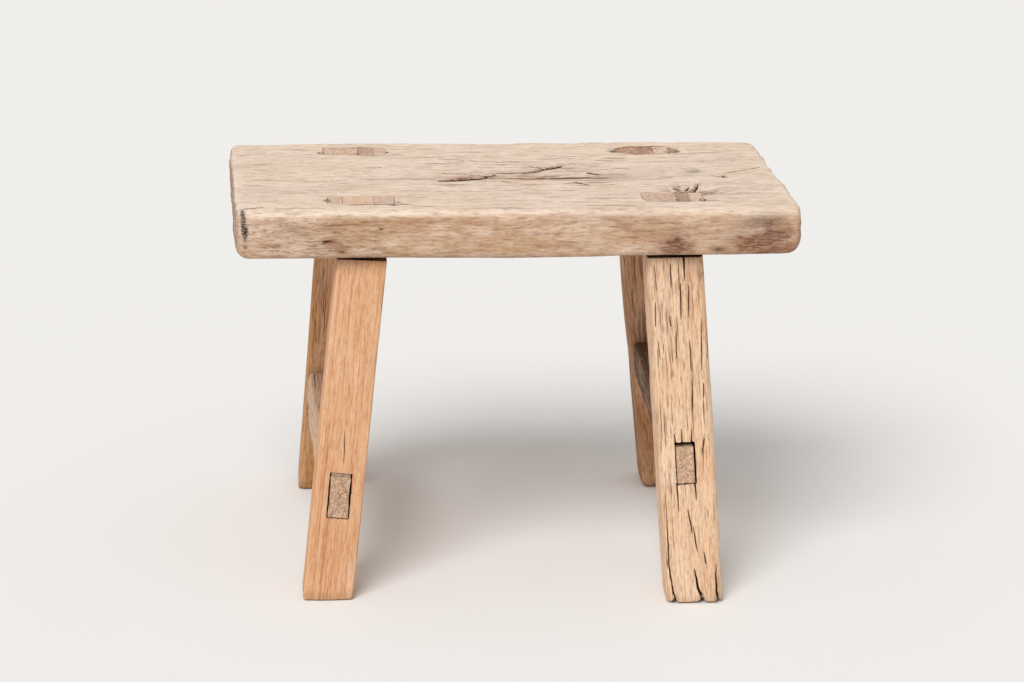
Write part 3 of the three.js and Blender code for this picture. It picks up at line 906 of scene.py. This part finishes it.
def leg_skin_object(name, leg):
    """The leg below the seat, whose shoulder slants where it stands off the seat."""
    half_x, half_y = leg["width"] / 2, leg["depth"] / 2
    foot = leg["foot_round"]
    counts = (int(leg["width"] / 0.6), int(leg["depth"] / 0.75)) * 2
    radii = (leg["round"],) * 4
    rows = []
    for z in stations(0, SEAT_BOTTOM, 1.7, foot, 1.2, 7):
        inset = float(round_in(z, foot) + round_in(SEAT_BOTTOM - z, 1.2) * 0.4)
        x, y = outline(-half_x + inset, half_x - inset, -half_y + inset, half_y - inset, radii, counts).T
        left, right = leg["shoulder"]
        opening = left + (right - left) * (x + half_x) / leg["width"]
        level = z * (1 - opening / SEAT_BOTTOM)
        cx, cy = axis_at(leg, level)
        rows.append(np.stack([cx + x, cy + y, level], 1))
    points, faces = loft(rows, 14)
    return new_object(name, points, faces)


def stretcher_axis(stretcher):
    """The axis's front point, how much it rises and how much it drifts to the right towards the back."""
    ends = [(*axis_at(LEGS[name], z), z) for name, z in zip(stretcher["legs"], stretcher["heights"])]
    (x0, y0, z0), (x1, y1, z1) = ends
    return (x0 + stretcher["offset"], y0, z0), (z1 - z0) / (y1 - y0), (x1 - x0) / (y1 - y0)


def aside_at(stretcher, y):
    """How far the body lies to the right of the axis."""
    ends = [axis_at(LEGS[name], z)[1] for name, z in zip(stretcher["legs"], stretcher["heights"])]
    front, back = stretcher["shift"]
    return front + (back - front) * (y - ends[0]) / (ends[1] - ends[0])


def run_rows(stretcher, ring, start, end, spacing, body=False):
    """Rows of (z, x) rings along a stretcher's rolled axis. start and end give y for each height beside it. A
    body is moved aside."""
    (x0, y0, z0), rise, drift = stretcher_axis(stretcher)
    up = ring[:, 0] - stretcher["roll"] * ring[:, 1]
    right = ring[:, 1] + stretcher["roll"] * ring[:, 0]
    first, last = start(up), end(up)
    count = max(2, int(np.mean(last - first) / spacing))
    rows = []
    for share in np.linspace(0, 1, count + 1):
        y = first + (last - first) * share
        aside = aside_at(stretcher, y) if body else 0
        rows.append(np.stack([x0 + drift * (y - y0) + aside + right, y, z0 + rise * (y - y0) + up], 1))
    return rows


def face_of(stretcher, which, face):
    """Gives the y at which a line dz above the stretcher's axis meets a leg's face, which is face behind the
    leg's own axis."""
    leg = LEGS[stretcher["legs"][which]]
    front, rise, _ = stretcher_axis(stretcher)
    slope = (leg["top"][1] - leg["foot"][1]) / SEAT_BOTTOM

    def meet(dz):
        level = front[2] + dz - rise * front[1]
        return (leg["foot"][1] + face + slope * level) / (1 - slope * rise)

    return meet


def stretcher_cutter(stretcher, which, seed):
    leg = LEGS[stretcher["legs"][which]]
    width, height = stretcher["tenon"]
    ring = outline(
        -height / 2 - stretcher["low_gap"], height / 2 + stretcher["top_gap"][which],
        -width / 2 - stretcher["side_gaps"][0], width / 2 + stretcher["side_gaps"][1],
        (0.8, 0.8, 0.8, 0.8), (30, 16, 30, 16), 3,
    )
    reach = leg["depth"] / 2 + 6
    rows = run_rows(stretcher, ring, face_of(stretcher, which, -reach), face_of(stretcher, which, reach), 1.6)
    points, faces = loft(ragged(rows, 0.55, seed), 3)
    return new_object("mortise", points, faces)


def wear_leg(skin, leg, number):
    """Wears and chips the leg's edges and its foot. Returns where the edges are."""
    z, v, w = skin.grain.T
    half_x, half_y = leg["width"] / 2, leg["depth"] / 2
    skin.weather(*leg["weather"])
    arris = step(np.abs(v), half_x - 4.5, half_x - 1) * step(np.abs(w), half_y - 4.5, half_y - 1)
    skin.inward += arris * step(skin.bumps((6, 6, 24), 70 + number), 0.2, 0.8) * leg["chips"]
    skin.inward += arris * 0.25 * (1 + skin.bumps((3, 3, 9), 75 + number))
    foot = step(6 - z, 0, 6) * (np.abs(skin.normals[:, 2]) < 0.6)
    skin.inward += 0.5 * foot * skin.bumps((5, 5, 3), 80 + number)
    # The foot's front edge has gaps where its cracks open.
    low_front = step(9 - z, 0, 8) * step(-w, half_y - 16, half_y - 5)
    for place, size, height in leg["notches"]:
        skin.lift += height * low_front * np.exp(-(((v - place) / size) ** 2))
    return arris


def crack_leg(skin, leg, number):
    """Cracks the four faces, and marks the front one's stains and painted shadow. Checks are narrower towards
    the foot.
    """
    z, v, w = skin.grain.T
    half_x, half_y = leg["width"] / 2, leg["depth"] / 2
    rng = np.random.default_rng(30 + number)
    side = np.abs(v) / half_x > np.abs(w) / half_y
    faces = [(~side & (w < 0), v, half_x), (side & (v > 0), w, half_y)]
    faces += [(~side & (w > 0), v, half_x), (side & (v < 0), w, half_y)]
    for i, (face, across, half) in enumerate(faces):
        drawn = leg["cracks"] if i == 0 else []
        found = checks(rng, (3, 243), (2 - half, half - 2), *leg["checks"])
        found = [(line, opening * step(line[0][0], -30, 160), deep) for line, opening, deep in found]
        skin.cracks(face, z, across, layered(drawn + found))
    for at, size, dark, red in leg["spots"]:
        spot = np.where(faces[0][0], blob(z, v, at, size), 0)
        skin.marks[:, DARK] += dark * spot
        skin.marks[:, RED] += red * spot


def finish_tenon(skin, leg, tenon_top, number):
    """Roughens and darkens the end grain that shows in the seat's top."""
    tops = tenon_top & (skin.normals[:, 2] > 0.5)
    rough = skin.bumps((4.5, 2.2, 3), 85 + number) + 0.5 * skin.bumps((1.8, 1.2, 2), 86 + number)
    skin.inward += np.where(tops, leg["crush"] * (rough + 0.4), 0)
    add_pits(skin, tenon_top)
    skin.marks[:, RED] += np.where(tops, leg["specks"] * specks(skin, 100 + number), 0)
    skin.marks[:, GREY] = tenon_top


def colour_leg(skin, leg, tenon_top, arris, number):
    z, v, _ = skin.grain.T
    end = step(np.abs(skin.normals[:, 2]), 0.6, 0.9)
    patches = 0.35 + 0.8 * skin.bumps((14, 14, 50), 92 + number) + 0.6 * step(z, 150, 240) * step(v, -6, 10)
    skin.tone[:, BROWN] = np.where(tenon_top, 0, patches)
    skin.wear[:, PALE] = arris * leg["pale_arris"] * (0.7 + 0.4 * skin.bumps((8, 8, 40), 90 + number))
    skin.wear[:, END] = np.where(tenon_top, leg["tenon_end"], 1) * end
    # Darker in the 16 mm just under the seat and near the foot, and dirty on the tenon's top.
    under_seat = step(z, SEAT_BOTTOM - 16, SEAT_BOTTOM) * (z < SEAT_BOTTOM + 1)
    skin.wear[:, DIRT_AND_SHADE] = 0.25 * under_seat + 0.25 * step(9 - z, 0, 8) + tenon_top * leg["tenon_dirt"]


def fit_leg(skin, name, leg):
    """Keeps the leg clear of the seat, the wedges and the stretcher, and paints shade on the shoulder under
    the seat and in the stretcher's mortise.
    """
    x, y, _ = skin.points.T
    z, v, w = skin.grain.T
    nz = skin.normals[:, 2]
    half_x, half_y = leg["width"] / 2, leg["depth"] / 2
    shoulder = (nz > 0.7) & (z > SEAT_BOTTOM - 8) & (z < SEAT_BOTTOM + 1)
    # Painted shade: the shoulder's top, in the gap under the seat, is black.
    skin.wear[shoulder, DIRT_AND_SHADE] = 1
    hidden = (np.abs(v) < half_x - 1.5) & (np.abs(w) < half_y - 1.5) & (z < SEAT_BOTTOM - 5) & (z > 3)
    # Painted shade on the walls of the stretcher's mortise.
    skin.wear[hidden, DIRT_AND_SHADE] = 0.8
    skin.keep_clear(shoulder | (z > SEAT_BOTTOM - 3) & (np.abs(nz) < WALL))
    for stretcher in STRETCHERS.values():
        if name in stretcher["legs"]:
            outward = -1 if name == stretcher["legs"][0] else 1
            (x0, y0, z0), rise, drift = stretcher_axis(stretcher)
            width, height = stretcher["body"]
            near = np.abs(x - x0 - drift * (y - y0)) < width / 2 + 8
            near &= np.abs(z - z0 - rise * (y - y0)) < height / 2 + 3
            skin.keep_clear(near & (outward * w < half_y - 1.5))


def make_leg(name, leg, material, number):
    obj = leg_skin_object("leg_" + name, leg)
    heights = stations(SEAT_BOTTOM - 10, SEAT_TOP - leg["drop"], 1.6, 0.6, 0.9, 3)
    first, last = leg["tenon"]
    points, faces = loft(plug_rows(leg, heights, (first, first), (last, last), 0.08), 13)
    combine(obj, new_object("tenon", points, faces), "UNION")
    for i, stretcher in enumerate(STRETCHERS.values()):
        if name in stretcher["legs"]:
            which = stretcher["legs"].index(name)
            combine(obj, stretcher_cutter(stretcher, which, 60 + 2 * i + which), "DIFFERENCE")

    def to_grain(p):
        cx, cy = axis_at(leg, p[:, 2])
        return np.stack([p[:, 2], p[:, 0] - cx, p[:, 1] - cy], 1)

    skin = Skin(obj, to_grain, leg["pith"], 10 + number, leg["bend"])
    tenon_top = skin.points[:, 2] > SEAT_TOP - 6
    arris = wear_leg(skin, leg, number)
    crack_leg(skin, leg, number)
    finish_tenon(skin, leg, tenon_top, number)
    colour_leg(skin, leg, tenon_top, arris, number)
    fit_leg(skin, name, leg)
    skin.finish(material, "leg_" + name)


# The stretchers and wedges.


def beveled(z0, z1, x0, x1, cut, counts):
    """A (z, x) ring whose two lower corners are cut off flat and whose upper corners are a little round."""
    ring = outline(z0, z1, x0, x1, (cut, 1.4, 1.4, cut), counts, 6)
    arc = 7
    lengths = [arc + counts[i] - 1 for i in range(4)]
    for corner in (0, 3):
        start = sum(lengths[:corner])
        share = np.linspace(0, 1, arc)[:, None]
        first, last = ring[start].copy(), ring[start + arc - 1].copy()
        ring[start : start + arc] = first + (last - first) * share
    return ring


def make_stretcher(name, stretcher, material, number):
    width, height = stretcher["tenon"]
    front, back = (LEGS[leg] for leg in stretcher["legs"])
    ring = outline(-height / 2, height / 2, -width / 2, width / 2, (0.9, 0.9, 0.9, 0.9), (32, 17, 32, 17), 4)
    start = face_of(stretcher, 0, -front["depth"] / 2 + 0.5)
    end = face_of(stretcher, 1, back["depth"] / 2 - 0.5)
    points, faces = loft(run_rows(stretcher, ring, start, end, 2.2), 10)
    obj = new_object("stretcher_" + name, points, faces)
    body_width, body_height = stretcher["body"]
    ring = beveled(-body_height / 2, body_height / 2, -body_width / 2, body_width / 2, 7, (26, 26, 26, 20))
    start = face_of(stretcher, 0, front["depth"] / 2 + 0.6)
    end = face_of(stretcher, 1, -back["depth"] / 2 - 0.6)
    points, faces = loft(run_rows(stretcher, ring, start, end, 1.7, True), 8)
    combine(obj, new_object("body", points, faces), "UNION")
    (x0, y0, z0), rise, drift = stretcher_axis(stretcher)

    def to_grain(p):
        y = p[:, 1]
        right = p[:, 0] - x0 - drift * (y - y0) - aside_at(stretcher, y)
        up = p[:, 2] - z0 - rise * (y - y0)
        return np.stack([y, right - stretcher["roll"] * up, up + stretcher["roll"] * right], 1)

    skin = Skin(obj, to_grain, stretcher["pith"], 20 + number)
    y, x, z = skin.grain.T
    skin.weather(0.55, 0.4, 0.16)
    arris = step(np.abs(x), body_width / 2 - 5, body_width / 2 - 1)
    arris *= step(np.abs(z), body_height / 2 - 8, body_height / 2 - 3)
    skin.inward += arris * 0.7 * step(skin.bumps((6, 14, 6), 95 + number), 0, 0.7)
    end = step(np.abs(skin.normals[:, 1]), 0.7, 0.93)
    tip = end * (np.abs(y) > 100)
    skin.inward += tip * (0.25 + 0.45 * skin.bumps((1.6, 2, 1.6), 97) + 0.4 * skin.bumps((5, 5, 5), 98))
    rng = np.random.default_rng(60 + number)
    sides = np.abs(x) / body_width > np.abs(z) / body_height
    for mask, place, size in ((sides, z, body_height), (~sides, x, body_width)):
        reach = 0.36 * size
        lines = checks(rng, (-92, 92), (-reach, reach), 3.2, (12, 55), (5, 60), (0.08, 0.35), 0.7)
        skin.cracks(mask & (tip < 0.3), y, place, layered(lines))
    left = step(-x, body_width / 2 - 2.5, body_width / 2 - 1)
    right = step(x, body_width / 2 - 3, body_width / 2 - 1)
    pale_edges = 0.5 * arris * (1 - stretcher["dirt"])
    skin.wear[:, PALE] = np.maximum(pale_edges, stretcher["pale_side"] * left)
    skin.wear[:, END] = stretcher["end_grain"] * end
    # Dirt, and on the right stretcher painted shade, fading at the tips; the outer right face gets half, so
    # the inner face is darkest.
    skin.wear[:, DIRT_AND_SHADE] = stretcher["dirt"] * (1 - tip) * (1 - 0.5 * right)
    for leg, height in zip((front, back), stretcher["heights"]):
        skin.keep_clear(np.abs(y - axis_at(leg, height)[1]) < leg["depth"] / 2 + 4)
    skin.finish(material, "stretcher_" + name)


def make_wedge(name, rows, material, number, crush, dirt):
    """A wedge beside a tenon. crush is how rough its top is, and the dirt argument how dirty."""
    points, faces = loft(rows, 7)
    obj = new_object("wedge_" + name, points, faces)
    skin = Skin(obj, lambda p: p[:, [2, 0, 1]], (40 - 17 * number, 300), 40 + number)
    up = step(skin.normals[:, 2], 0.5, 0.9) * (skin.points[:, 2] > SEAT_TOP - 8)
    rough = skin.bumps((2.4, 3.2, 3), 7 * number) + 0.6 * skin.bumps((1.2, 1.4, 2), 7 * number + 1)
    skin.inward += up * (crush * (rough + 0.5))
    skin.inward += (1 - up) * 0.12 * skin.noise((12, 2, 2), 5)
    add_pits(skin, up > 0.05)
    skin.wear[:, END] = 0.35 * up
    skin.wear[:, DIRT_AND_SHADE] = dirt
    skin.marks[:, GREY] = 0.85 * up
    skin.marks[:, RED] = up * (0.05 + 1.3 * dirt) * specks(skin, 7 * number + 3)
    skin.keep_clear(np.abs(skin.normals[:, 2]) < WALL)
    skin.finish(material, "seat_wedge_" + name)


def make_seat_wedges(name, leg, materials, number):
    made = 0
    for side in (-1, 1):
        lines = joint_lines(leg, side)
        for near, far in zip(lines, lines[1:]):
            lower, upper = sorted((near, far))
            drop, crush, dirt, kind = leg["wedge_looks"][made]
            made += 1
            heights = stations(SEAT_TOP - 29, SEAT_TOP - drop, 1.6, 0.3, 0.7, 3)
            rows = plug_rows(leg, heights, lower, upper, 0.1, 0.7)
            make_wedge(f"{name}_{made}", rows, materials[kind], number + made, crush, dirt)


def make_stretcher_wedge(stretcher, which, material, number):
    """The thin wedge above a stretcher's tenon. Its outer end is split and ragged."""
    leg = LEGS[stretcher["legs"][which]]
    outward = -1 if which == 0 else 1
    half, height = stretcher["tenon"][0] / 2 - 0.3, stretcher["tenon"][1] / 2
    top = height + stretcher["top_gap"][which] - 0.25
    (x0, y0, z0), rise, drift = stretcher_axis(stretcher)
    rows = []
    for share in np.linspace(0, 1, 22):
        thick = (top - height - 0.25) * (1 - 0.6 * share)
        ring = outline(top - thick, top, -half, half, (0.3, 0.3, 0.3, 0.3), (4, 26, 4, 26), 2)
        up = ring[:, 0] - stretcher["roll"] * ring[:, 1]
        y = face_of(stretcher, which, outward * (leg["depth"] / 2 - 0.3 - 24 * share))(up)
        x = x0 + drift * (y - y0) + ring[:, 1] + stretcher["roll"] * ring[:, 0]
        rows.append(np.stack([x, y, z0 + rise * (y - y0) + up], 1))
    points, faces = loft(rows[::-outward], 3)
    obj = new_object("stretcher_wedge_" + stretcher["legs"][which], points, faces)
    skin = Skin(obj, lambda p: p[:, [1, 0, 2]], (0, 60), 60 + number)
    outer = step(outward * skin.normals[:, 1], 0.3, 0.8)
    chunks = skin.bumps((2.6, 9, 9), 130 + number)
    chunks += 0.5 * skin.bumps((1.1, 3, 1.4), 131 + number)
    skin.inward += outer * (0.7 + 1.2 * chunks)
    skin.wear[:, END] = outer
    skin.wear[:, DIRT_AND_SHADE] = 0.25
    skin.finish(material, "stretcher_wedge_" + stretcher["legs"][which])


# What each leg looks like. foot_round is how round its foot's edge is, pith where the centre of its growth
# rings lies beside its axis, bend how far its grain wanders, weather how uneven its faces are, chips and
# pale_arris how chipped and pale its edges are, and notches its foot's gaps. cracks and spots (stains, and
# on the back right leg a painted shadow) are drawn on its front face, as (z, x) places beside its axis, and
# checks says how its drying checks are drawn. crush, tenon_end, specks and tenon_dirt are how rough, grainy,
# speckled and dirty its tenon's top is. wedge_looks has each wedge's drop below the seat, roughness, dirt and
# wood.
LEGS["front_left"].update(
    foot_round=1.2, pith=(70, 25), bend=0.5, weather=(0.2, 0.1, 0.05), chips=0.5, pale_arris=0.6,
    notches=[], cracks=[([(98, 1.5), (122.6, 0)], 0.2, 0.5)], spots=[],
    checks=(4.5, (12, 40), (60, 260), (0.02, 0.06), 0.4),
    crush=0.15, tenon_end=0.15, specks=0.2, tenon_dirt=0.0,
    wedge_looks=[(0.2, 0.15, 0.1, 0), (0.25, 0.15, 0.1, 0)],
)
LEGS["back_left"].update(
    foot_round=1.6, pith=(-50, 35), bend=1.2, weather=(0.3, 0.18, 0.08), chips=0.8, pale_arris=0.6,
    notches=[], cracks=[], spots=[((121, 4), (3, 6), 0.7, 0.6)],
    checks=(3.2, (10, 45), (20, 120), (0.03, 0.15), 0.6),
    crush=0.2, tenon_end=0.2, specks=0.3, tenon_dirt=0.0,
    wedge_looks=[(0.4, 0.3, 0.15, 1), (0.4, 0.3, 0.1, 0)],
)
LEGS["front_right"].update(
    foot_round=2.6, pith=(-6, 46), bend=0.8, weather=(0.45, 0.3, 0.12), chips=0.9, pale_arris=0.6,
    spots=[((236, 16), (9, 5), 0.0, 0.45), ((231, 18.5), (3, 1.5), 0.5, 0.2), ((20, 9), (12, 2), 0.0, 0.35)],
    notches=[(-15, 1.5, 3.2), (4.9, 1.7, 3.6), (16.4, 1.4, 3.0)],
    cracks=[
        ([(0, -14.6), (8.2, -16), (19.2, -17.2), (30.3, -17.6), (82, -17.4)], 0.55, 2.5, "start"),
        ([(0, 5), (5.9, 4.3), (10.9, 2.6), (25, 0.5)], 1.0, 4.0, "start"),
        ([(0, 16.5), (9.7, 16), (28.8, 16.2)], 0.8, 3.0, "start"),
        ([(227, 5.6), (237, 5.9), (247, 6)], 0.6, 2.0, "end"),
        ([(64, -8.3), (76, -8.3), (85, -8.8)], 0.4, 1.2, "end"),
        ([(72, 5), (80, 4.7), (85, 4.4)], 0.5, 1.4, "end"),
        ([(49, 0.3), (57, -0.3), (67, -1.7)], 0.4, 1.0),
        ([(36, 3.6), (44, 2.5), (55, 1.6)], 0.35, 1.0),
        ([(27, 9.4), (37, 8.2)], 0.35, 0.9),
        ([(113, -7.9), (121, -8.3)], 0.4, 1.2, "start"),
        ([(113, -3.1), (125, -3.3)], 0.4, 1.2, "start"),
        ([(113, 3.7), (125, 4.7)], 0.45, 1.2, "start"),
        ([(105, 11), (118, 13.2)], 0.35, 0.9),
        ([(194, -17.4), (213.7, -16.2)], 0.3, 0.9),
        ([(172, -15.4), (186, -15.9)], 0.25, 0.9),
        ([(221.5, -4.6), (241, -3.9)], 0.3, 0.9),
        ([(194, -5.8), (202.8, -7)], 0.3, 0.9),
        ([(173, -3.5), (193, -2.3)], 0.3, 0.9),
        ([(199.8, 1.4), (227.4, 2.8)], 0.35, 0.9),
        ([(201.7, 6.8), (226, 8.6)], 0.3, 0.9),
        ([(163, 6.4), (186, 6.9)], 0.3, 0.9),
        ([(163, 14.2), (201.6, 16)], 0.3, 0.9),
        ([(144, 14.6), (157, 15.2)], 0.3, 0.9),
        ([(135, 5.9), (160, 6.9)], 0.3, 0.9),
    ],
    checks=(1.7, (7, 36), (2, 30), (0.02, 0.22), 0.8),
    crush=0.3, tenon_end=0.4, specks=0.35, tenon_dirt=0.0,
    wedge_looks=[(0.45, 0.4, 0.3, 1), (0.4, 0.5, 0.02, 0)],
)
LEGS["back_right"].update(
    foot_round=3.5, pith=(10, -60), bend=1.2, weather=(0.45, 0.3, 0.12), chips=1.1, pale_arris=0.5,
    notches=[], cracks=[([(20, 9), (90, 8), (150, 10)], 0.4, 1.5), ([(150, -2), (240, 1)], 0.35, 1.2)],
    # Its front face's spot is a painted shadow where the right stretcher meets it.
    spots=[((140, -4), (26, 12), 0.35, 0.5)], checks=(2.8, (10, 40), (10, 80), (0.05, 0.22), 0.8),
    crush=0.8, tenon_end=0.7, specks=0.75, tenon_dirt=0.1,
    wedge_looks=[(0.4, 0.4, 0.0, 0), (0.9, 0.6, 0.3, 1)],
)
# The stretchers: the centre of their growth rings, how dark their dirt and painted shade are (a little dirt
# on the left one, mostly painted shade on the right one), how pale the left side is and how much their ends
# show the grain.
STRETCHERS["left"].update(pith=(35, -40), dirt=0.12, pale_side=0.9, end_grain=0.8)
STRETCHERS["right"].update(pith=(30, -52), dirt=0.85, pale_side=0, end_grain=0.45)

WOODS = {
    "seat_wood": dict(
        colours=[(243, 224, 205), (227, 198, 171), (174, 128, 100), (208, 190, 176)], tint=(0.67, 0.54, 0.42),
        size=2.0, short=2.4, bands=0.4, streaks=0.34, pores=0.3, ring_size=2.6,
    ),
    "leg_front_left_wood": dict(
        colours=[(231, 189, 152), (214, 151, 101), (184, 112, 68), (246, 220, 198)], tint=(0.95, 0.89, 0.82),
        size=0.7, short=0.7, bands=0.45, streaks=0.8, pores=0.15, blotches=0.2, ring_size=1.5, relief=0.6,
    ),
    "leg_back_left_wood": dict(
        colours=[(208, 156, 106), (190, 134, 84), (112, 70, 42), (248, 222, 198)], tint=(0.96, 0.9, 0.84),
        bands=0.6, streaks=0.6, blotches=0.4,
    ),
    "leg_front_right_wood": dict(
        colours=[(244, 214, 182), (230, 188, 148), (156, 106, 76), (232, 204, 184)], tint=(0.97, 0.86, 0.78),
        size=0.9, streaks=0.4, blotches=0.45, ring_size=2.0, relief=1.2,
    ),
    "leg_back_right_wood": dict(
        colours=[(214, 166, 125), (183, 136, 99), (98, 64, 44), (244, 208, 184)], tint=(0.72, 0.6, 0.5),
        size=1.1, bands=0.6, streaks=0.6, pores=0.5, blotches=0.4, relief=1.2,
    ),
    "stretcher_left_wood": dict(
        colours=[(236, 200, 168), (200, 160, 128), (128, 88, 62), (184, 160, 138)],
        size=1.1, blotches=0.6, ring_size=1.6, relief=1.2,
    ),
    "stretcher_right_wood": dict(
        colours=[(236, 200, 170), (196, 154, 124), (136, 96, 70), (200, 164, 138)],
        size=1.1, bands=0.9, blotches=0.6, ring_size=1.6, relief=1.2,
    ),
    "wedge_wood_pale": dict(
        colours=[(246, 220, 198), (236, 206, 180), (176, 132, 106), (244, 216, 194)],
        size=1.2, blotches=0.3, ring_size=1.4, relief=1.2,
    ),
    "wedge_wood_red": dict(
        colours=[(232, 202, 180), (214, 172, 146), (150, 102, 78), (232, 200, 176)],
        size=1.2, blotches=0.3, ring_size=1.4, relief=1.2,
    ),
}
woods = {name: Wood(name).build(**looks) for name, looks in WOODS.items()}
wedge_woods = [woods["wedge_wood_pale"], woods["wedge_wood_red"]]

make_seat(woods["seat_wood"])
for number, (name, leg) in enumerate(LEGS.items()):
    make_leg(name, leg, woods[f"leg_{name}_wood"], number)
    make_seat_wedges(name, leg, wedge_woods, 3 * number)
for number, (name, stretcher) in enumerate(STRETCHERS.items()):
    make_stretcher(name, stretcher, woods[f"stretcher_{name}_wood"], number)
    if stretcher["wedged"]:
        for which in (0, 1):
            make_stretcher_wedge(stretcher, which, wedge_woods[0], which)


# The setting.


def make_floor():
    mesh = bpy.data.meshes.new("floor")
    half = 9.0
    corners = [(-half, -half, 0), (half, -half, 0), (half, half, 0), (-half, half, 0)]
    mesh.from_pydata(corners, [], [(0, 1, 2, 3)])
    floor = bpy.data.objects.new("floor", mesh)
    bpy.context.scene.collection.objects.link(floor)
    material = bpy.data.materials.new("floor")
    material.use_nodes = True
    shader = material.node_tree.nodes["Principled BSDF"]
    shader.inputs["Base Color"].default_value = (0.88, 0.87, 0.855, 1)
    shader.inputs["Roughness"].default_value = 0.85
    mesh.materials.append(material)
    floor.location.z = -0.0006


def make_sun():
    """A broad soft light from the upper left, in front of the stool."""
    data = bpy.data.lights.new("sun", "SUN")
    data.energy = 2.0
    data.angle = math.radians(34)
    light = bpy.data.objects.new("sun", data)
    light.rotation_euler = Vector((-0.32, -0.557, 0.766)).to_track_quat("Z", "Y").to_euler()
    bpy.context.scene.collection.objects.link(light)


def make_camera():
    data = bpy.data.cameras.new("camera")
    data.sensor_width = 36
    data.lens = 111.26
    camera = bpy.data.objects.new("camera", data)
    camera.location = (-0.1678, -2.2451, 0.8639)
    down, aside, tilt = (math.radians(a) for a in (17.52, 4.44, 0.84))
    turn = Matrix.Rotation(-aside, 3, "Z")
    turn = turn @ Matrix.Rotation(math.pi / 2 - down, 3, "X") @ Matrix.Rotation(tilt, 3, "Z")
    camera.rotation_euler = turn.to_euler()
    bpy.context.scene.collection.objects.link(camera)
    bpy.context.scene.camera = camera


make_floor()
make_sun()
world = bpy.data.worlds.new("studio")
world.use_nodes = True
background = world.node_tree.nodes["Background"]
background.inputs["Color"].default_value = (1.0, 0.985, 0.965, 1)
background.inputs["Strength"].default_value = 0.52
bpy.context.scene.world = world
bpy.context.scene.view_settings.view_transform = "Standard"
make_camera()
